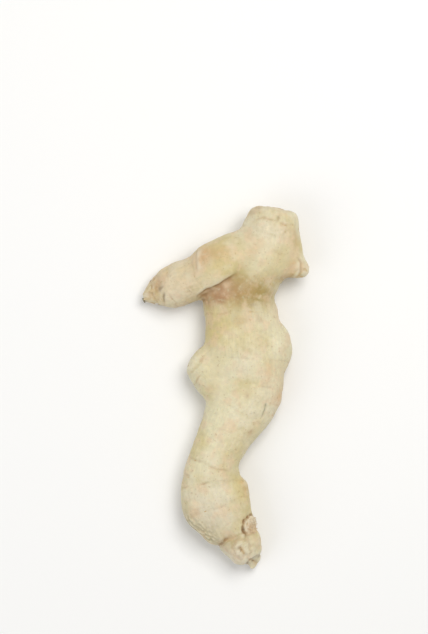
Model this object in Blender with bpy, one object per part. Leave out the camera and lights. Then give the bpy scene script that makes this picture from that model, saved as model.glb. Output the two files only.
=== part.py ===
"""A ginger rhizome, lying on a flat surface: one solid, grown in one piece.

Metres, +Z up, Y along the rhizome from its tail to its head. The origin is under
the middle of the rhizome's box, on the surface that it rests on.

Each lobe is a chain of stations, lofted into a closed tube with domed ends. The
lobes overlap, are fused into one skin, smoothed where they meet, and cut flat
where they touch the surface.
"""

import math
from typing import NamedTuple

import bmesh
import bpy
from mathutils import Vector

MM = 0.001

# Overall size, as the box round the whole rhizome.
LENGTH = 225.6 * MM
BREADTH = 103.0 * MM
THICKNESS = 34.3 * MM

# How deep the lobes that carry the weight sink below the surface before the flat cut.
REST_CUT = 0.7 * MM

# Girths of the lobes where each is fullest or narrowest.
HEAD_WIDTH = 38.0 * MM
HEAD_HEIGHT = 31.0 * MM
STEM_WIDTH = 49.0 * MM
STEM_HEIGHT = 31.0 * MM
WAIST_WIDTH = 31.0 * MM
WAIST_HEIGHT = 25.0 * MM
HAUNCH_WIDTH = 44.0 * MM
HAUNCH_HEIGHT = 28.0 * MM
FINGER_WIDTH = 27.5 * MM
FINGER_HEIGHT = 24.0 * MM
FINGER_TIP_WIDTH = 7.5 * MM
BUD_WIDTH = 10.5 * MM
STUMP_WIDTH = 22.0 * MM
NUB_WIDTH = 6.0 * MM

# The skin: the fused mesh's cell, how far creases are rounded, and its final fineness.
SKIN_CELL = 1.25 * MM
CREASE_SMOOTHING = 10
SKIN_KEEP = 0.12

# The loft: sections between stations, points round a section, and rings in a dome.
SECTIONS_PER_SPAN = 5
SECTION_POINTS = 28
DOME_RINGS = 5

SKIN_COLOUR = (0.68, 0.56, 0.37, 1.0)
SKIN_ROUGHNESS = 0.6


class Station(NamedTuple):
    """A section of a lobe: where its centre lies, how far its underside is lifted off
    the surface, and its width and height."""

    x: float
    y: float
    lift: float
    width: float
    height: float


class Lobe(NamedTuple):
    """A swollen stretch of rhizome. The domes say how far each of its ends stands out."""

    stations: list
    root_dome: float
    tip_dome: float


# The stem that the other lobes grow from, from its blunt head down to its waist.
STEM = Lobe(
    [
        Station(29.5 * MM, 107.5 * MM, 9 * MM, 31 * MM, 21 * MM),
        Station(28.5 * MM, 100 * MM, 7 * MM, 35 * MM, 25 * MM),
        Station(26.5 * MM, 92 * MM, 4.5 * MM, HEAD_WIDTH, 29 * MM),
        Station(24 * MM, 83 * MM, 2.5 * MM, HEAD_WIDTH, HEAD_HEIGHT),
        Station(16 * MM, 70 * MM, 1 * MM, 36.5 * MM, 31 * MM),
        Station(8.5 * MM, 57 * MM, 0 * MM, 44 * MM, STEM_HEIGHT),
        Station(10 * MM, 43 * MM, 1 * MM, 45 * MM, 30 * MM),
        Station(11 * MM, 27 * MM, 0.8 * MM, STEM_WIDTH, STEM_HEIGHT),
        Station(11.7 * MM, 9 * MM, 0.2 * MM, STEM_WIDTH, STEM_HEIGHT),
        Station(9.5 * MM, -8 * MM, 0 * MM, 46 * MM, 30 * MM),
        Station(1.5 * MM, -25 * MM, 2.3 * MM, 35 * MM, 27 * MM),
        Station(-6.5 * MM, -42 * MM, 3.9 * MM, WAIST_WIDTH, WAIST_HEIGHT),
        Station(-9 * MM, -54 * MM, 2.6 * MM, 35 * MM, 26 * MM),
        Station(-8 * MM, -64 * MM, 2.8 * MM, 33 * MM, 24 * MM),
    ],
    root_dome=5 * MM,
    tip_dome=10 * MM,
)

# The long side finger, which rides over the stem's flank and droops to its dry tip.
FINGER = Lobe(
    [
        Station(20 * MM, 84 * MM, 5 * MM, 33 * MM, 28 * MM),
        Station(4 * MM, 80 * MM, 8 * MM, 31 * MM, 27 * MM),
        Station(-9 * MM, 73.5 * MM, 8 * MM, 31 * MM, 26 * MM),
        Station(-17 * MM, 69 * MM, 6.5 * MM, FINGER_WIDTH, FINGER_HEIGHT),
        Station(-27 * MM, 65 * MM, 2.5 * MM, FINGER_WIDTH, FINGER_HEIGHT),
        Station(-36.5 * MM, 61.5 * MM, -0.2 * MM, 25 * MM, 21.5 * MM),
        Station(-44 * MM, 58.8 * MM, 1.4 * MM, 16.5 * MM, 15.5 * MM),
        Station(-49 * MM, 56.6 * MM, 4.1 * MM, FINGER_TIP_WIDTH, 8.5 * MM),
    ],
    root_dome=8 * MM,
    tip_dome=2.5 * MM,
)

# The lower lobe leans out to the left of the waist and carries the tail.
HAUNCH = Lobe(
    [
        Station(-9.5 * MM, -50 * MM, 6 * MM, 24 * MM, 20 * MM),
        Station(-11 * MM, -60 * MM, 2.5 * MM, 35 * MM, 25 * MM),
        Station(-6 * MM, -71 * MM, 0.4 * MM, HAUNCH_WIDTH, HAUNCH_HEIGHT),
        Station(-0.5 * MM, -82 * MM, 0 * MM, 36 * MM, HAUNCH_HEIGHT),
        Station(5 * MM, -92.5 * MM, 1 * MM, 30 * MM, 25 * MM),
        Station(9.5 * MM, -100.5 * MM, 1.5 * MM, 25 * MM, 22 * MM),
    ],
    root_dome=8 * MM,
    tip_dome=9 * MM,
)

# Buds, bulges and stumps along the sides.
HEAD_BUD = Lobe(
    [
        Station(36 * MM, 81.5 * MM, 6.5 * MM, 25 * MM, 23 * MM),
        Station(43 * MM, 75.5 * MM, 9.2 * MM, 17 * MM, 16.5 * MM),
        Station(47.5 * MM, 72.5 * MM, 11.2 * MM, BUD_WIDTH, 11.5 * MM),
    ],
    root_dome=6 * MM,
    tip_dome=4 * MM,
)
HEAD_SHOULDER = Lobe(
    [
        Station(34 * MM, 94 * MM, 6 * MM, 24 * MM, 25 * MM),
        Station(36 * MM, 84 * MM, 5.5 * MM, 24 * MM, 25 * MM),
    ],
    root_dome=8 * MM,
    tip_dome=8 * MM,
)
RIGHT_BULGE = Lobe(
    [
        Station(23 * MM, 38 * MM, 3.5 * MM, 20 * MM, 22 * MM),
        Station(27 * MM, 26 * MM, 1 * MM, 29 * MM, 26 * MM),
        Station(24 * MM, 13 * MM, 1.5 * MM, 26 * MM, 25 * MM),
    ],
    root_dome=8 * MM,
    tip_dome=8 * MM,
)
RIGHT_HIP = Lobe(
    [
        Station(20 * MM, 0 * MM, 1 * MM, 30 * MM, 27 * MM),
        Station(22.5 * MM, -9 * MM, 3 * MM, 25 * MM, 23 * MM),
    ],
    root_dome=8 * MM,
    tip_dome=8 * MM,
)
LEFT_STUMP = Lobe(
    [
        Station(2 * MM, 4 * MM, 1 * MM, 40 * MM, 28 * MM),
        Station(-8 * MM, 10.5 * MM, 1 * MM, 32 * MM, 26 * MM),
        Station(-17.5 * MM, 17 * MM, 2.3 * MM, STUMP_WIDTH, 21 * MM),
    ],
    root_dome=8 * MM,
    tip_dome=4 * MM,
)
WAIST_BUMP = Lobe(
    [
        Station(2 * MM, -60 * MM, 5 * MM, 20 * MM, 20 * MM),
        Station(9 * MM, -61.5 * MM, 10 * MM, 11 * MM, 12 * MM),
    ],
    root_dome=6 * MM,
    tip_dome=5 * MM,
)
SCAR_STUMP = Lobe(
    [
        Station(7 * MM, -81.5 * MM, 5 * MM, 19 * MM, 20 * MM),
        Station(13.5 * MM, -84 * MM, 9 * MM, 13 * MM, 14 * MM),
    ],
    root_dome=6 * MM,
    tip_dome=5 * MM,
)
TAIL_KNOB = Lobe(
    [
        Station(13 * MM, -96 * MM, 3.5 * MM, 19 * MM, 20 * MM),
        Station(16 * MM, -100.5 * MM, 5 * MM, 13.5 * MM, 15 * MM),
    ],
    root_dome=6 * MM,
    tip_dome=5 * MM,
)
TAIL_NUB = Lobe(
    [
        Station(19 * MM, -105.5 * MM, 4.8 * MM, 7 * MM, 7.5 * MM),
        Station(17.2 * MM, -109 * MM, 4.8 * MM, NUB_WIDTH, 6.5 * MM),
        Station(15.5 * MM, -111 * MM, 4.5 * MM, NUB_WIDTH, 6 * MM),
    ],
    root_dome=3 * MM,
    tip_dome=2.2 * MM,
)
LOBES = [
    STEM,
    FINGER,
    HAUNCH,
    HEAD_BUD,
    HEAD_SHOULDER,
    RIGHT_BULGE,
    RIGHT_HIP,
    LEFT_STUMP,
    WAIST_BUMP,
    SCAR_STUMP,
    TAIL_KNOB,
    TAIL_NUB,
]


def clear_scene():
    """Removes whatever the scene holds."""
    for obj in list(bpy.data.objects):
        bpy.data.objects.remove(obj)


def section_of(station):
    """The station as a list: its centre, its width and its height."""
    middle = station.lift + station.height / 2
    return [station.x, station.y, middle, station.width, station.height]


def curve_through(rows, per_span):
    """Rows of numbers read from the smooth curve that passes through each given row."""
    ends = [rows[0], *rows, rows[-1]]
    found = []
    for before, start, end, after in zip(ends, ends[1:], ends[2:], ends[3:]):
        for step in range(per_span):
            t = step / per_span
            found.append(
                [
                    b
                    + 0.5
                    * t
                    * (
                        (c - a)
                        + t * ((2 * a - 5 * b + 4 * c - d) + t * (3 * (b - c) + d - a))
                    )
                    for a, b, c, d in zip(before, start, end, after)
                ]
            )
    return [*found, list(rows[-1])]


def add_ring(mesh, centre, along, width, height):
    """One elliptical section, square to the lobe's axis, as a list of vertices."""
    side = along.cross(Vector((0, 0, 1))).normalized()
    up = side.cross(along)
    ring = []
    for point in range(SECTION_POINTS):
        turn = 2 * math.pi * point / SECTION_POINTS
        offset = side * (width / 2 * math.cos(turn)) + up * (height / 2 * math.sin(turn))
        ring.append(mesh.verts.new(centre + offset))
    return ring


def dome_sections(centre, along, width, height, reach):
    """Sections that close an end with an elliptical dome, from the end outwards."""
    sections = []
    for ring in range(1, DOME_RINGS + 1):
        turn = math.pi / 2 * ring / (DOME_RINGS + 1)
        share = math.cos(turn)
        place = centre + along * (reach * math.sin(turn))
        sections.append((place, along, width * share, height * share))
    return sections


def add_lobe(mesh, lobe):
    """Lofts one lobe into the mesh as a closed tube."""
    rows = curve_through([section_of(s) for s in lobe.stations], SECTIONS_PER_SPAN)
    centres = [Vector(row[:3]) for row in rows]
    last = len(rows) - 1
    sections = []
    for index, row in enumerate(rows):
        along = centres[min(index + 1, last)] - centres[max(index - 1, 0)]
        sections.append((centres[index], along.normalized(), row[3], row[4]))
    first_centre, first_along, *first_size = sections[0]
    last_centre, last_along, *last_size = sections[-1]
    root = dome_sections(first_centre, -first_along, *first_size, lobe.root_dome)
    root = [(place, -along, width, height) for place, along, width, height in root]
    tip = dome_sections(last_centre, last_along, *last_size, lobe.tip_dome)
    sections = [*reversed(root), *sections, *tip]
    rings = [add_ring(mesh, *section) for section in sections]
    for ring, following in zip(rings, rings[1:]):
        for point in range(SECTION_POINTS):
            beside = (point + 1) % SECTION_POINTS
            corners = (ring[point], ring[beside], following[beside], following[point])
            mesh.faces.new(corners)
    root_pole = mesh.verts.new(first_centre - first_along * lobe.root_dome)
    tip_pole = mesh.verts.new(last_centre + last_along * lobe.tip_dome)
    for point in range(SECTION_POINTS):
        beside = (point + 1) % SECTION_POINTS
        mesh.faces.new((rings[0][beside], rings[0][point], root_pole))
        mesh.faces.new((rings[-1][point], rings[-1][beside], tip_pole))


def make_skin_material():
    """Dry tan ginger skin."""
    material = bpy.data.materials.new("ginger_skin")
    material.use_nodes = True
    shader = material.node_tree.nodes["Principled BSDF"]
    shader.inputs["Base Color"].default_value = SKIN_COLOUR
    shader.inputs["Roughness"].default_value = SKIN_ROUGHNESS
    shader.inputs["Metallic"].default_value = 0.0
    return material


def make_surface_cutter(size):
    """A block under the surface, which cuts the flats that the rhizome rests on."""
    mesh = bmesh.new()
    bmesh.ops.create_cube(mesh, size=size)
    bmesh.ops.translate(mesh, verts=mesh.verts, vec=(0, 0, REST_CUT - size / 2))
    data = bpy.data.meshes.new("surface_cutter")
    mesh.to_mesh(data)
    mesh.free()
    cutter = bpy.data.objects.new("surface_cutter", data)
    cutter.hide_render = True
    cutter.display_type = "WIRE"
    bpy.context.scene.collection.objects.link(cutter)
    return cutter


def make_rhizome():
    """All lobes in one object, fused, smoothed and cut flat where it rests."""
    mesh = bmesh.new()
    for lobe in LOBES:
        add_lobe(mesh, lobe)
    bmesh.ops.recalc_face_normals(mesh, faces=mesh.faces)
    data = bpy.data.meshes.new("ginger_rhizome")
    mesh.to_mesh(data)
    mesh.free()
    rhizome = bpy.data.objects.new("ginger_rhizome", data)
    bpy.context.scene.collection.objects.link(rhizome)
    rhizome.data.materials.append(make_skin_material())

    fuse = rhizome.modifiers.new("fuse_lobes", "REMESH")
    fuse.mode = "VOXEL"
    fuse.voxel_size = SKIN_CELL
    fuse.use_smooth_shade = True
    soften = rhizome.modifiers.new("round_creases", "SMOOTH")
    soften.factor = 0.5
    soften.iterations = CREASE_SMOOTHING
    thin = rhizome.modifiers.new("thin_mesh", "DECIMATE")
    thin.ratio = SKIN_KEEP
    return rhizome


def box_of(obj):
    """Lowest and highest corner of the object as its modifiers leave it."""
    bpy.context.view_layer.update()
    evaluated = obj.evaluated_get(bpy.context.evaluated_depsgraph_get())
    corners = [evaluated.matrix_world @ Vector(corner) for corner in evaluated.bound_box]
    low = Vector([min(corner[axis] for corner in corners) for axis in range(3)])
    high = Vector([max(corner[axis] for corner in corners) for axis in range(3)])
    return low, high


def set_down(rhizome):
    """Brings the rhizome to its overall size, with the origin under the middle of its box."""
    low, high = box_of(rhizome)
    size = high - low
    rhizome.scale = (BREADTH / size.x, LENGTH / size.y, (THICKNESS + REST_CUT) / size.z)
    low, high = box_of(rhizome)
    middle = (low + high) / 2
    rhizome.location = (-middle.x, -middle.y, -low.z - REST_CUT)
    cutter = make_surface_cutter(2 * (high - low).length)
    cutter.location.z = -REST_CUT
    flats = rhizome.modifiers.new("resting_flats", "BOOLEAN")
    flats.operation = "DIFFERENCE"
    flats.object = cutter


def main():
    """Models the rhizome."""
    clear_scene()
    set_down(make_rhizome())


main()
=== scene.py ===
"""A fresh ginger rhizome lying on a pale studio floor.

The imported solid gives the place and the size. A fine skin is grown over it, with the
rings, wrinkles, scars and buds of a washed and dried rhizome, and small dry pieces are
set on the skin: leaf scales along the rings and at the tips, a withered hook, fibres on
the torn stub, and rootlet stubs underneath. Metres, unless a docstring says millimetres,
with +Z up and +Y from the tail to the head.
"""

import logging
import math
from dataclasses import dataclass, field
from enum import Enum
from typing import Any, Sequence

import bmesh
import bpy
import numpy as np
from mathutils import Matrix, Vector, noise


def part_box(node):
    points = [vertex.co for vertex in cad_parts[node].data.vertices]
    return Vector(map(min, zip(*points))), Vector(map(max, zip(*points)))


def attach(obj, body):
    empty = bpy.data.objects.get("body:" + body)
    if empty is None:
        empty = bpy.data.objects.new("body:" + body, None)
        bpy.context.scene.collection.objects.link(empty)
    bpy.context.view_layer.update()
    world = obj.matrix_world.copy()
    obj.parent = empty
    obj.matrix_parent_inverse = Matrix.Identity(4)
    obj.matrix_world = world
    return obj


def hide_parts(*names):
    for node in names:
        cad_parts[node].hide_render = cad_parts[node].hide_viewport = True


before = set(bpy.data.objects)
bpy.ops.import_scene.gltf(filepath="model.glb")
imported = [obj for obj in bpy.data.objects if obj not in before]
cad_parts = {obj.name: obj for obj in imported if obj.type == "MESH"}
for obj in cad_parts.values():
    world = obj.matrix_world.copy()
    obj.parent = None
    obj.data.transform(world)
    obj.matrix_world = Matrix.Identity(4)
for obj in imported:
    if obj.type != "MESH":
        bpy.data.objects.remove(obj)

MM = 0.001
CAD_NODE = "ginger_rhizome"
BODY = "root"

NOISE = "ShaderNodeTexNoise"
MIX = "ShaderNodeMix"
MATH = "ShaderNodeMath"
RANGE = "ShaderNodeMapRange"
ATTRIBUTE = "ShaderNodeAttribute"
COORDINATES = "ShaderNodeTexCoord"

log = logging.getLogger("ginger")


def linear(hex_colour: str) -> tuple[float, float, float, float]:
    """Turns an sRGB hex colour to linear light.

    Args:
        hex_colour: Six hex digits with a leading hash, such as "#c8b48a".

    Returns:
        Red, green, blue and an alpha of 1.
    """
    channels = [int(hex_colour[start : start + 2], 16) / 255 for start in (1, 3, 5)]
    red, green, blue = (
        value / 12.92 if value <= 0.04045 else ((value + 0.055) / 1.055) ** 2.4
        for value in channels
    )
    return red, green, blue, 1.0


def add_node(
    tree: bpy.types.NodeTree,
    kind: str,
    settings: dict[str, Any],
    inputs: dict[Any, Any],
    output: Any = 0,
) -> bpy.types.NodeSocket:
    """Adds one node to a tree.

    Args:
        tree: The material's or the geometry's node tree.
        kind: The node's type, such as "ShaderNodeTexNoise".
        settings: The node's own properties and their values.
        inputs: Each input socket's name or number, with its value or the socket that feeds it.
        output: The name or number of the output that is wanted.

    Returns:
        That output socket of the new node.
    """
    node = tree.nodes.new(kind)
    for name, value in settings.items():
        setattr(node, name, value)
    for key, value in inputs.items():
        if isinstance(value, bpy.types.NodeSocket):
            tree.links.new(value, node.inputs[key])
        else:
            node.inputs[key].default_value = value
    return node.outputs[output]


def new_material(name: str) -> tuple[bpy.types.Material, bpy.types.Node]:
    """Makes a material.

    Args:
        name: The finish's name.

    Returns:
        The material and its Principled shader.
    """
    made = bpy.data.materials.new(name)
    made.use_nodes = True
    return made, made.node_tree.nodes["Principled BSDF"]


def add_object(name: str, data: Any) -> bpy.types.Object:
    """Adds an object to the scene.

    Args:
        name: The object's name.
        data: Its mesh, light or lens.

    Returns:
        The new object.
    """
    added = bpy.data.objects.new(name, data)
    bpy.context.scene.collection.objects.link(added)
    return added


def smooth_step(values: np.ndarray, low: float, high: float) -> np.ndarray:
    """Rises smoothly from 0 at low to 1 at high.

    Args:
        values: Any numbers.
        low: Where the rise starts.
        high: Where the rise ends.

    Returns:
        A number from 0 to 1 for each value.
    """
    share = np.clip((values - low) / (high - low), 0, 1)
    return share * share * (3 - 2 * share)


def bell(values: np.ndarray, width: float) -> np.ndarray:
    """Falls smoothly to both sides from 1 at zero.

    Args:
        values: Any numbers.
        width: Where it has fallen to about a third.

    Returns:
        A number from 0 to 1 for each value.
    """
    return np.exp(-((values / width) ** 2))


def turned(places: np.ndarray, degrees: float) -> tuple[np.ndarray, np.ndarray]:
    """Reads places along two axes that are turned anticlockwise, seen from above.

    Args:
        places: One row each, x first and then y.
        degrees: The turn.

    Returns:
        How far each place lies along the turned x axis and along the turned y axis.
    """
    turn = math.radians(degrees)
    x, y = places[:, 0], places[:, 1]
    return x * math.cos(turn) + y * math.sin(turn), y * math.cos(turn) - x * math.sin(turn)


def lumps(points: np.ndarray, size: float, seed: int) -> np.ndarray:
    """Smooth random relief.

    Args:
        points: Places in metres, one row each.
        size: The usual distance between lumps, in metres.
        seed: Picks one pattern of many.

    Returns:
        About -1 to 1 for each place.
    """
    offset = Vector((seed * 17.31, seed * 5.77, seed * 11.13))
    scaled = points / size
    return np.array([noise.noise(Vector(place) + offset) for place in scaled])


def grains(points: np.ndarray, size: float, seed: int) -> np.ndarray:
    """Rounded grains packed side by side, such as callus on a scar.

    Args:
        points: Places in metres, one row each.
        size: The distance between grains, in metres.
        seed: Picks one pattern of many.

    Returns:
        1 in the middle of a grain, falling to about 0 between grains.
    """
    offset = Vector((seed * 3.19, seed * 7.43, seed * 13.7))
    scaled = points / size
    near = np.array([noise.voronoi(Vector(place) + offset)[0][0] for place in scaled])
    return 1 - np.clip(near / 0.75, 0, 1) ** 2


def relaxed(
    values: np.ndarray, edges: np.ndarray, share: float | np.ndarray, rounds: int
) -> np.ndarray:
    """Moves each vertex's value towards its neighbours' mean.

    Args:
        values: One row for each vertex.
        edges: The two vertices of each edge.
        share: How far each vertex moves in a round, from 0 to 1, one for all or one each.
        rounds: How often it is done.

    Returns:
        The evened values.
    """
    count = len(values)
    first, second = edges[:, 0], edges[:, 1]
    beside = np.bincount(edges.ravel(), minlength=count)[:, None]
    share = np.reshape(share, (-1, 1))
    for _ in range(rounds):
        total = np.stack(
            [
                np.bincount(first, column[second], count)
                + np.bincount(second, column[first], count)
                for column in values.T
            ],
            axis=1,
        )
        values = values + share * (total / beside - values)
    return values


class Tint(Enum):
    """The colours that ginger skin takes in spots, patches and washes, some also laid as painted
    shade.
    """

    OCHRE = "#b98f4e"
    ORANGE = "#d2a473"
    SIENNA = "#ab8059"
    BLUSH = "#dfc3a4"
    OLIVE = "#a68f50"
    STRAW = "#d2c086"
    CREAM = "#e6dcc2"
    ASH = "#cfc4ad"
    BROWN = "#80603c"
    DARK = "#43331f"
    GREY = "#8d876c"


@dataclass(frozen=True)
class Mark:
    """A soft spot, patch, stroke or wash of colour on the skin, in millimetres from the origin."""

    tint: Tint
    x: float
    y: float
    reach: float
    strength: float
    stretch: float = 1.0
    turn: float = 0.0
    all_round: bool = False


@dataclass
class SkinMap:
    """What is known at each vertex of the skin while it is shaped.

    Height is along the normal, in metres. Tint holds a colour and, in its fourth
    column, how much of it covers the skin.
    """

    points: np.ndarray
    normals: np.ndarray
    height: np.ndarray
    tint: np.ndarray
    cork: np.ndarray
    ring: np.ndarray

    @classmethod
    def of(cls, points: np.ndarray, normals: np.ndarray) -> "SkinMap":
        """Starts a plain map.

        Args:
            points: The vertices, in metres.
            normals: Their normals.

        Returns:
            A map with no height and no colour yet.
        """
        count = len(points)
        return cls(
            points, normals, np.zeros(count), np.zeros((count, 4)), np.zeros(count), np.zeros(count)
        )

    def paint(self, tint: Tint, cover: np.ndarray) -> None:
        """Lays a colour over what is there.

        Args:
            tint: The colour.
            cover: How much of it each vertex takes, from 0 to 1.
        """
        cover = np.clip(cover, 0, 1)
        under = self.tint[:, 3]
        total = cover + under * (1 - cover)
        share = np.divide(cover, total, out=np.zeros_like(cover), where=total > 1e-6)
        colour = np.array(linear(tint.value)[:3])
        self.tint[:, :3] += share[:, None] * (colour - self.tint[:, :3])
        self.tint[:, 3] = total

    def beside(self, path: Sequence[tuple[float, float]]) -> tuple[np.ndarray, np.ndarray]:
        """Measures each vertex against a line drawn over the skin, seen from above.

        Args:
            path: The line's points, in millimetres.

        Returns:
            Millimetres from the line, positive on its right-hand side, and the share of the
            line's points that has been passed, from 0 to 1.
        """
        place = self.points[:, :2] / MM
        away, share = np.full(len(place), np.inf), np.zeros(len(place))
        for number, (start, end) in enumerate(zip(path, path[1:])):
            run = np.array(end) - np.array(start)
            offset = place - np.array(start)
            travel = np.clip(offset @ run / (run @ run), 0, 1)
            distance = np.linalg.norm(offset - travel[:, None] * run, axis=1)
            right = np.where(offset[:, 0] * run[1] - offset[:, 1] * run[0] > 0, 1.0, -1.0)
            here = distance < np.abs(away)
            away = np.where(here, distance * right, away)
            share = np.where(here, (number + travel) / (len(path) - 1), share)
        return away, share


@dataclass
class Lobe:
    """A swollen stretch of the rhizome, as a chain of sections in millimetres.

    Each section is x, y, height of its middle, width and thickness. Rings are leaf
    scars that cross the lobe, the gap being their usual distance. None show before
    plain_root, where the lobe is still part of the one that bears it. Over tip_length
    they draw closer, to tip_gap of the usual distance, and they run on past the tip by
    the overrun, so that the rounded end has rings too.
    """

    sections: Sequence[tuple[float, float, float, float, float]]
    ring_gap: float
    seed: int
    strong_rings: Sequence[float] = ()
    plain_root: float = -60.0
    overrun: float = 20.0
    faint_strengths: tuple[float, float] = (0.15, 0.60)
    strong_strength: float = 0.8
    gap_spread: tuple[float, float] = (0.7, 1.35)
    tip_gap: float = 0.6
    tip_length: float = 30.0
    along: np.ndarray = field(init=False)
    closeness: np.ndarray = field(init=False)
    grain: np.ndarray = field(init=False)
    axis: np.ndarray = field(init=False)

    def measure(self, points: np.ndarray) -> None:
        """Finds where each point lies along and around the lobe.

        Args:
            points: Places in metres. Afterwards closeness is 1 on the lobe's surface, along is
                metres from its root, grain is a place that a wrinkle along the lobe shares, and
                axis is the lobe's direction there.
        """
        rows = np.array(self.sections) * MM
        count = len(points)
        nearest = np.full(count, np.inf)
        self.along, self.closeness = np.zeros(count), np.full(count, np.inf)
        self.grain, self.axis = np.zeros((count, 3)), np.zeros((count, 3))
        passed, last = 0.0, len(rows) - 2
        for index, (start, end) in enumerate(zip(rows, rows[1:])):
            run = end[:3] - start[:3]
            length = float(np.linalg.norm(run))
            direction = run / length
            side = np.cross(direction, (0, 0, 1))
            side /= np.linalg.norm(side)
            up = np.cross(side, direction)
            offset = points - start[:3]
            travel = offset @ direction
            share = np.clip(travel / length, 0, 1)
            away = offset - (share * length)[:, None] * direction
            distance = np.linalg.norm(away, axis=1)
            size = start[3:] + share[:, None] * (end[3:] - start[3:])
            past = travel - share * length
            radius = np.hypot(away @ side / size[:, 0], away @ up / size[:, 1]) * 2
            ends = ((index == 0) & (past < 0)) | ((index == last) & (past > 0))
            close = np.where(ends, np.hypot(radius, 2 * past / size[:, 0]), radius)
            here = distance < nearest
            nearest = np.where(here, distance, nearest)
            self.closeness = np.where(here, close, self.closeness)
            self.along = np.where(here, passed + np.where(ends, travel, share * length), self.along)
            flat = np.stack([passed + travel, away @ side, away @ up], axis=1)
            self.grain = np.where(here[:, None], flat, self.grain)
            self.axis = np.where(here[:, None], direction, self.axis)
            passed += length

    def rings(self) -> tuple[np.ndarray, np.ndarray]:
        """Places the leaf scars.

        Returns:
            Metres from the root to each ring, in order, and each ring's strength.
        """
        rows = np.array(self.sections)[:, :3]
        length = float(np.linalg.norm(np.diff(rows, axis=0), axis=1).sum())
        random = np.random.default_rng(self.seed)
        places, strengths, place = [-30.0], [0.0], -15.0
        while place < length + self.overrun:
            places.append(place)
            strengths.append(float(random.uniform(*self.faint_strengths)))
            from_tip = min(1.0, max(0.0, (length - place) / self.tip_length))
            closer = self.tip_gap + (1 - self.tip_gap) * from_tip
            place += self.ring_gap * closer * float(random.uniform(*self.gap_spread))
        for strong in self.strong_rings:
            closest = int(np.argmin(np.abs(np.array(places) - strong)))
            places[closest], strengths[closest] = strong, self.strong_strength
        order = np.argsort(places)
        return np.array(places)[order] * MM, np.array(strengths)[order]


STEM = Lobe(
    [
        (29.5, 109.5, 19.5, 29, 20), (28.5, 100, 19.5, 35, 25), (26.5, 92, 19, 38, 29),
        (24, 83, 18, 38, 31), (16, 70, 16.5, 36.5, 31), (8.5, 57, 15.5, 44, 31),
        (10, 43, 16, 45, 30), (11, 27, 16.3, 49, 31), (11.7, 9, 15.7, 49, 31),
        (9.5, -8, 15, 46, 30), (1.5, -25, 15.8, 35, 27), (-6.5, -42, 16.4, 31, 25),
        (-9.5, -56, 15.3, 34, 26), (-6, -71, 14.4, 44, 28), (-0.5, -82, 14, 36, 28),
        (5, -92.5, 13.5, 30, 25), (9.5, -100.5, 12.5, 25, 22), (12, -105, 11.5, 20, 18),
    ],
    ring_gap=11.0,
    seed=4,
    strong_rings=(3.5, 7.0, 178.0),
)
FINGER = Lobe(
    [
        (16, 83, 19.5, 33, 28), (4, 80, 21.5, 31, 27), (-9, 73.5, 21, 31, 26),
        (-17, 69, 18.5, 27.5, 24), (-27, 65, 14.5, 27.5, 24), (-36.5, 61.5, 10.6, 25, 21.5),
        (-44, 58.8, 9.2, 16.5, 15.5), (-49, 56.6, 8.4, 7.5, 8.5),
    ],
    ring_gap=9.0,
    seed=9,
    strong_rings=(68.0,),
    plain_root=30.0,
)
BUD = Lobe(
    [(36, 81.5, 18, 25, 23), (43, 75.5, 17.5, 17, 16.5), (48, 72.2, 17, 10.5, 11.5)],
    ring_gap=4.0,
    seed=3,
)
STUMP = Lobe(
    [(2, 4, 15, 40, 28), (-8, 10.5, 14, 32, 26), (-18.5, 17.7, 12.8, 22, 21)],
    ring_gap=6.0,
    seed=12,
    strong_rings=(16.0, 22.0),
)
NUB = Lobe(
    [(19, -105.5, 8.5, 7, 7.5), (17.2, -109, 8, 6, 6.5), (15.2, -111.4, 7.5, 6, 6)],
    ring_gap=2.6,
    seed=6,
    plain_root=30.0,
)


@dataclass
class Groove:
    """A line drawn into the skin, such as a dried crack, a ring scar or a crease beside a bud.

    The path is in millimetres. Width, depth and wander are too.
    """

    path: Sequence[tuple[float, float]]
    width: float = 0.5
    depth: float = 0.35
    tint: Tint = Tint.GREY
    cover: float = 0.7
    wander: float = 0.3
    down_the_side: bool = False

    def carve(self, skin: SkinMap) -> None:
        """Cuts the line, thinning out at both ends.

        Args:
            skin: The map to change.
        """
        away, share = skin.beside(self.path)
        away = away + self.wander * lumps(skin.points, 2.5 * MM, 61)
        ends = smooth_step(share, 0.0, 0.2) * smooth_step(-share, -1.0, -0.75)
        lowest = -1.3 if self.down_the_side else 0.15
        line = bell(away, self.width) * (0.25 + 0.75 * ends)
        line = line * smooth_step(skin.normals[:, 2], lowest, lowest + 0.25)
        skin.height -= line * self.depth * MM
        skin.paint(self.tint, line * self.cover)


@dataclass
class Lap:
    """An edge where one swelling of the rhizome laps over a sunken, browner stretch.

    The sunken stretch lies to the right of the path. Its browner tint and the brown line just under
    the edge are painted shade under the overhang.
    """

    path: Sequence[tuple[float, float]]
    depth: float
    lip: float
    reach: float
    tint: Tint
    cover: float
    shade: float

    def carve(self, skin: SkinMap) -> None:
        """Raises the edge, sinks what lies under it and paints shade on the sunken side.

        Args:
            skin: The map to change.
        """
        away, share = skin.beside(self.path)
        away = away + 0.5 * lumps(skin.points, 5 * MM, 65)
        ends = smooth_step(share, 0.0, 0.25) * smooth_step(-share, -1.0, -0.75)
        ends = ends * smooth_step(skin.normals[:, 2], -0.2, 0.2)
        below = smooth_step(away, -0.5, 1.0) * bell(np.maximum(away, 0), self.reach)
        skin.height -= below * ends * self.depth * MM
        skin.height += bell(away + 1.5, 1.6) * ends * self.lip * MM
        patchy = 0.75 + 0.35 * lumps(skin.points, 4 * MM, 66)
        # Painted shade: the sunken side under the overhang, and a brown line just under the edge.
        skin.paint(self.tint, below * ends * self.cover * patchy)
        skin.paint(Tint.BROWN, bell(away - 0.5, 0.6) * ends * self.shade)


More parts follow.
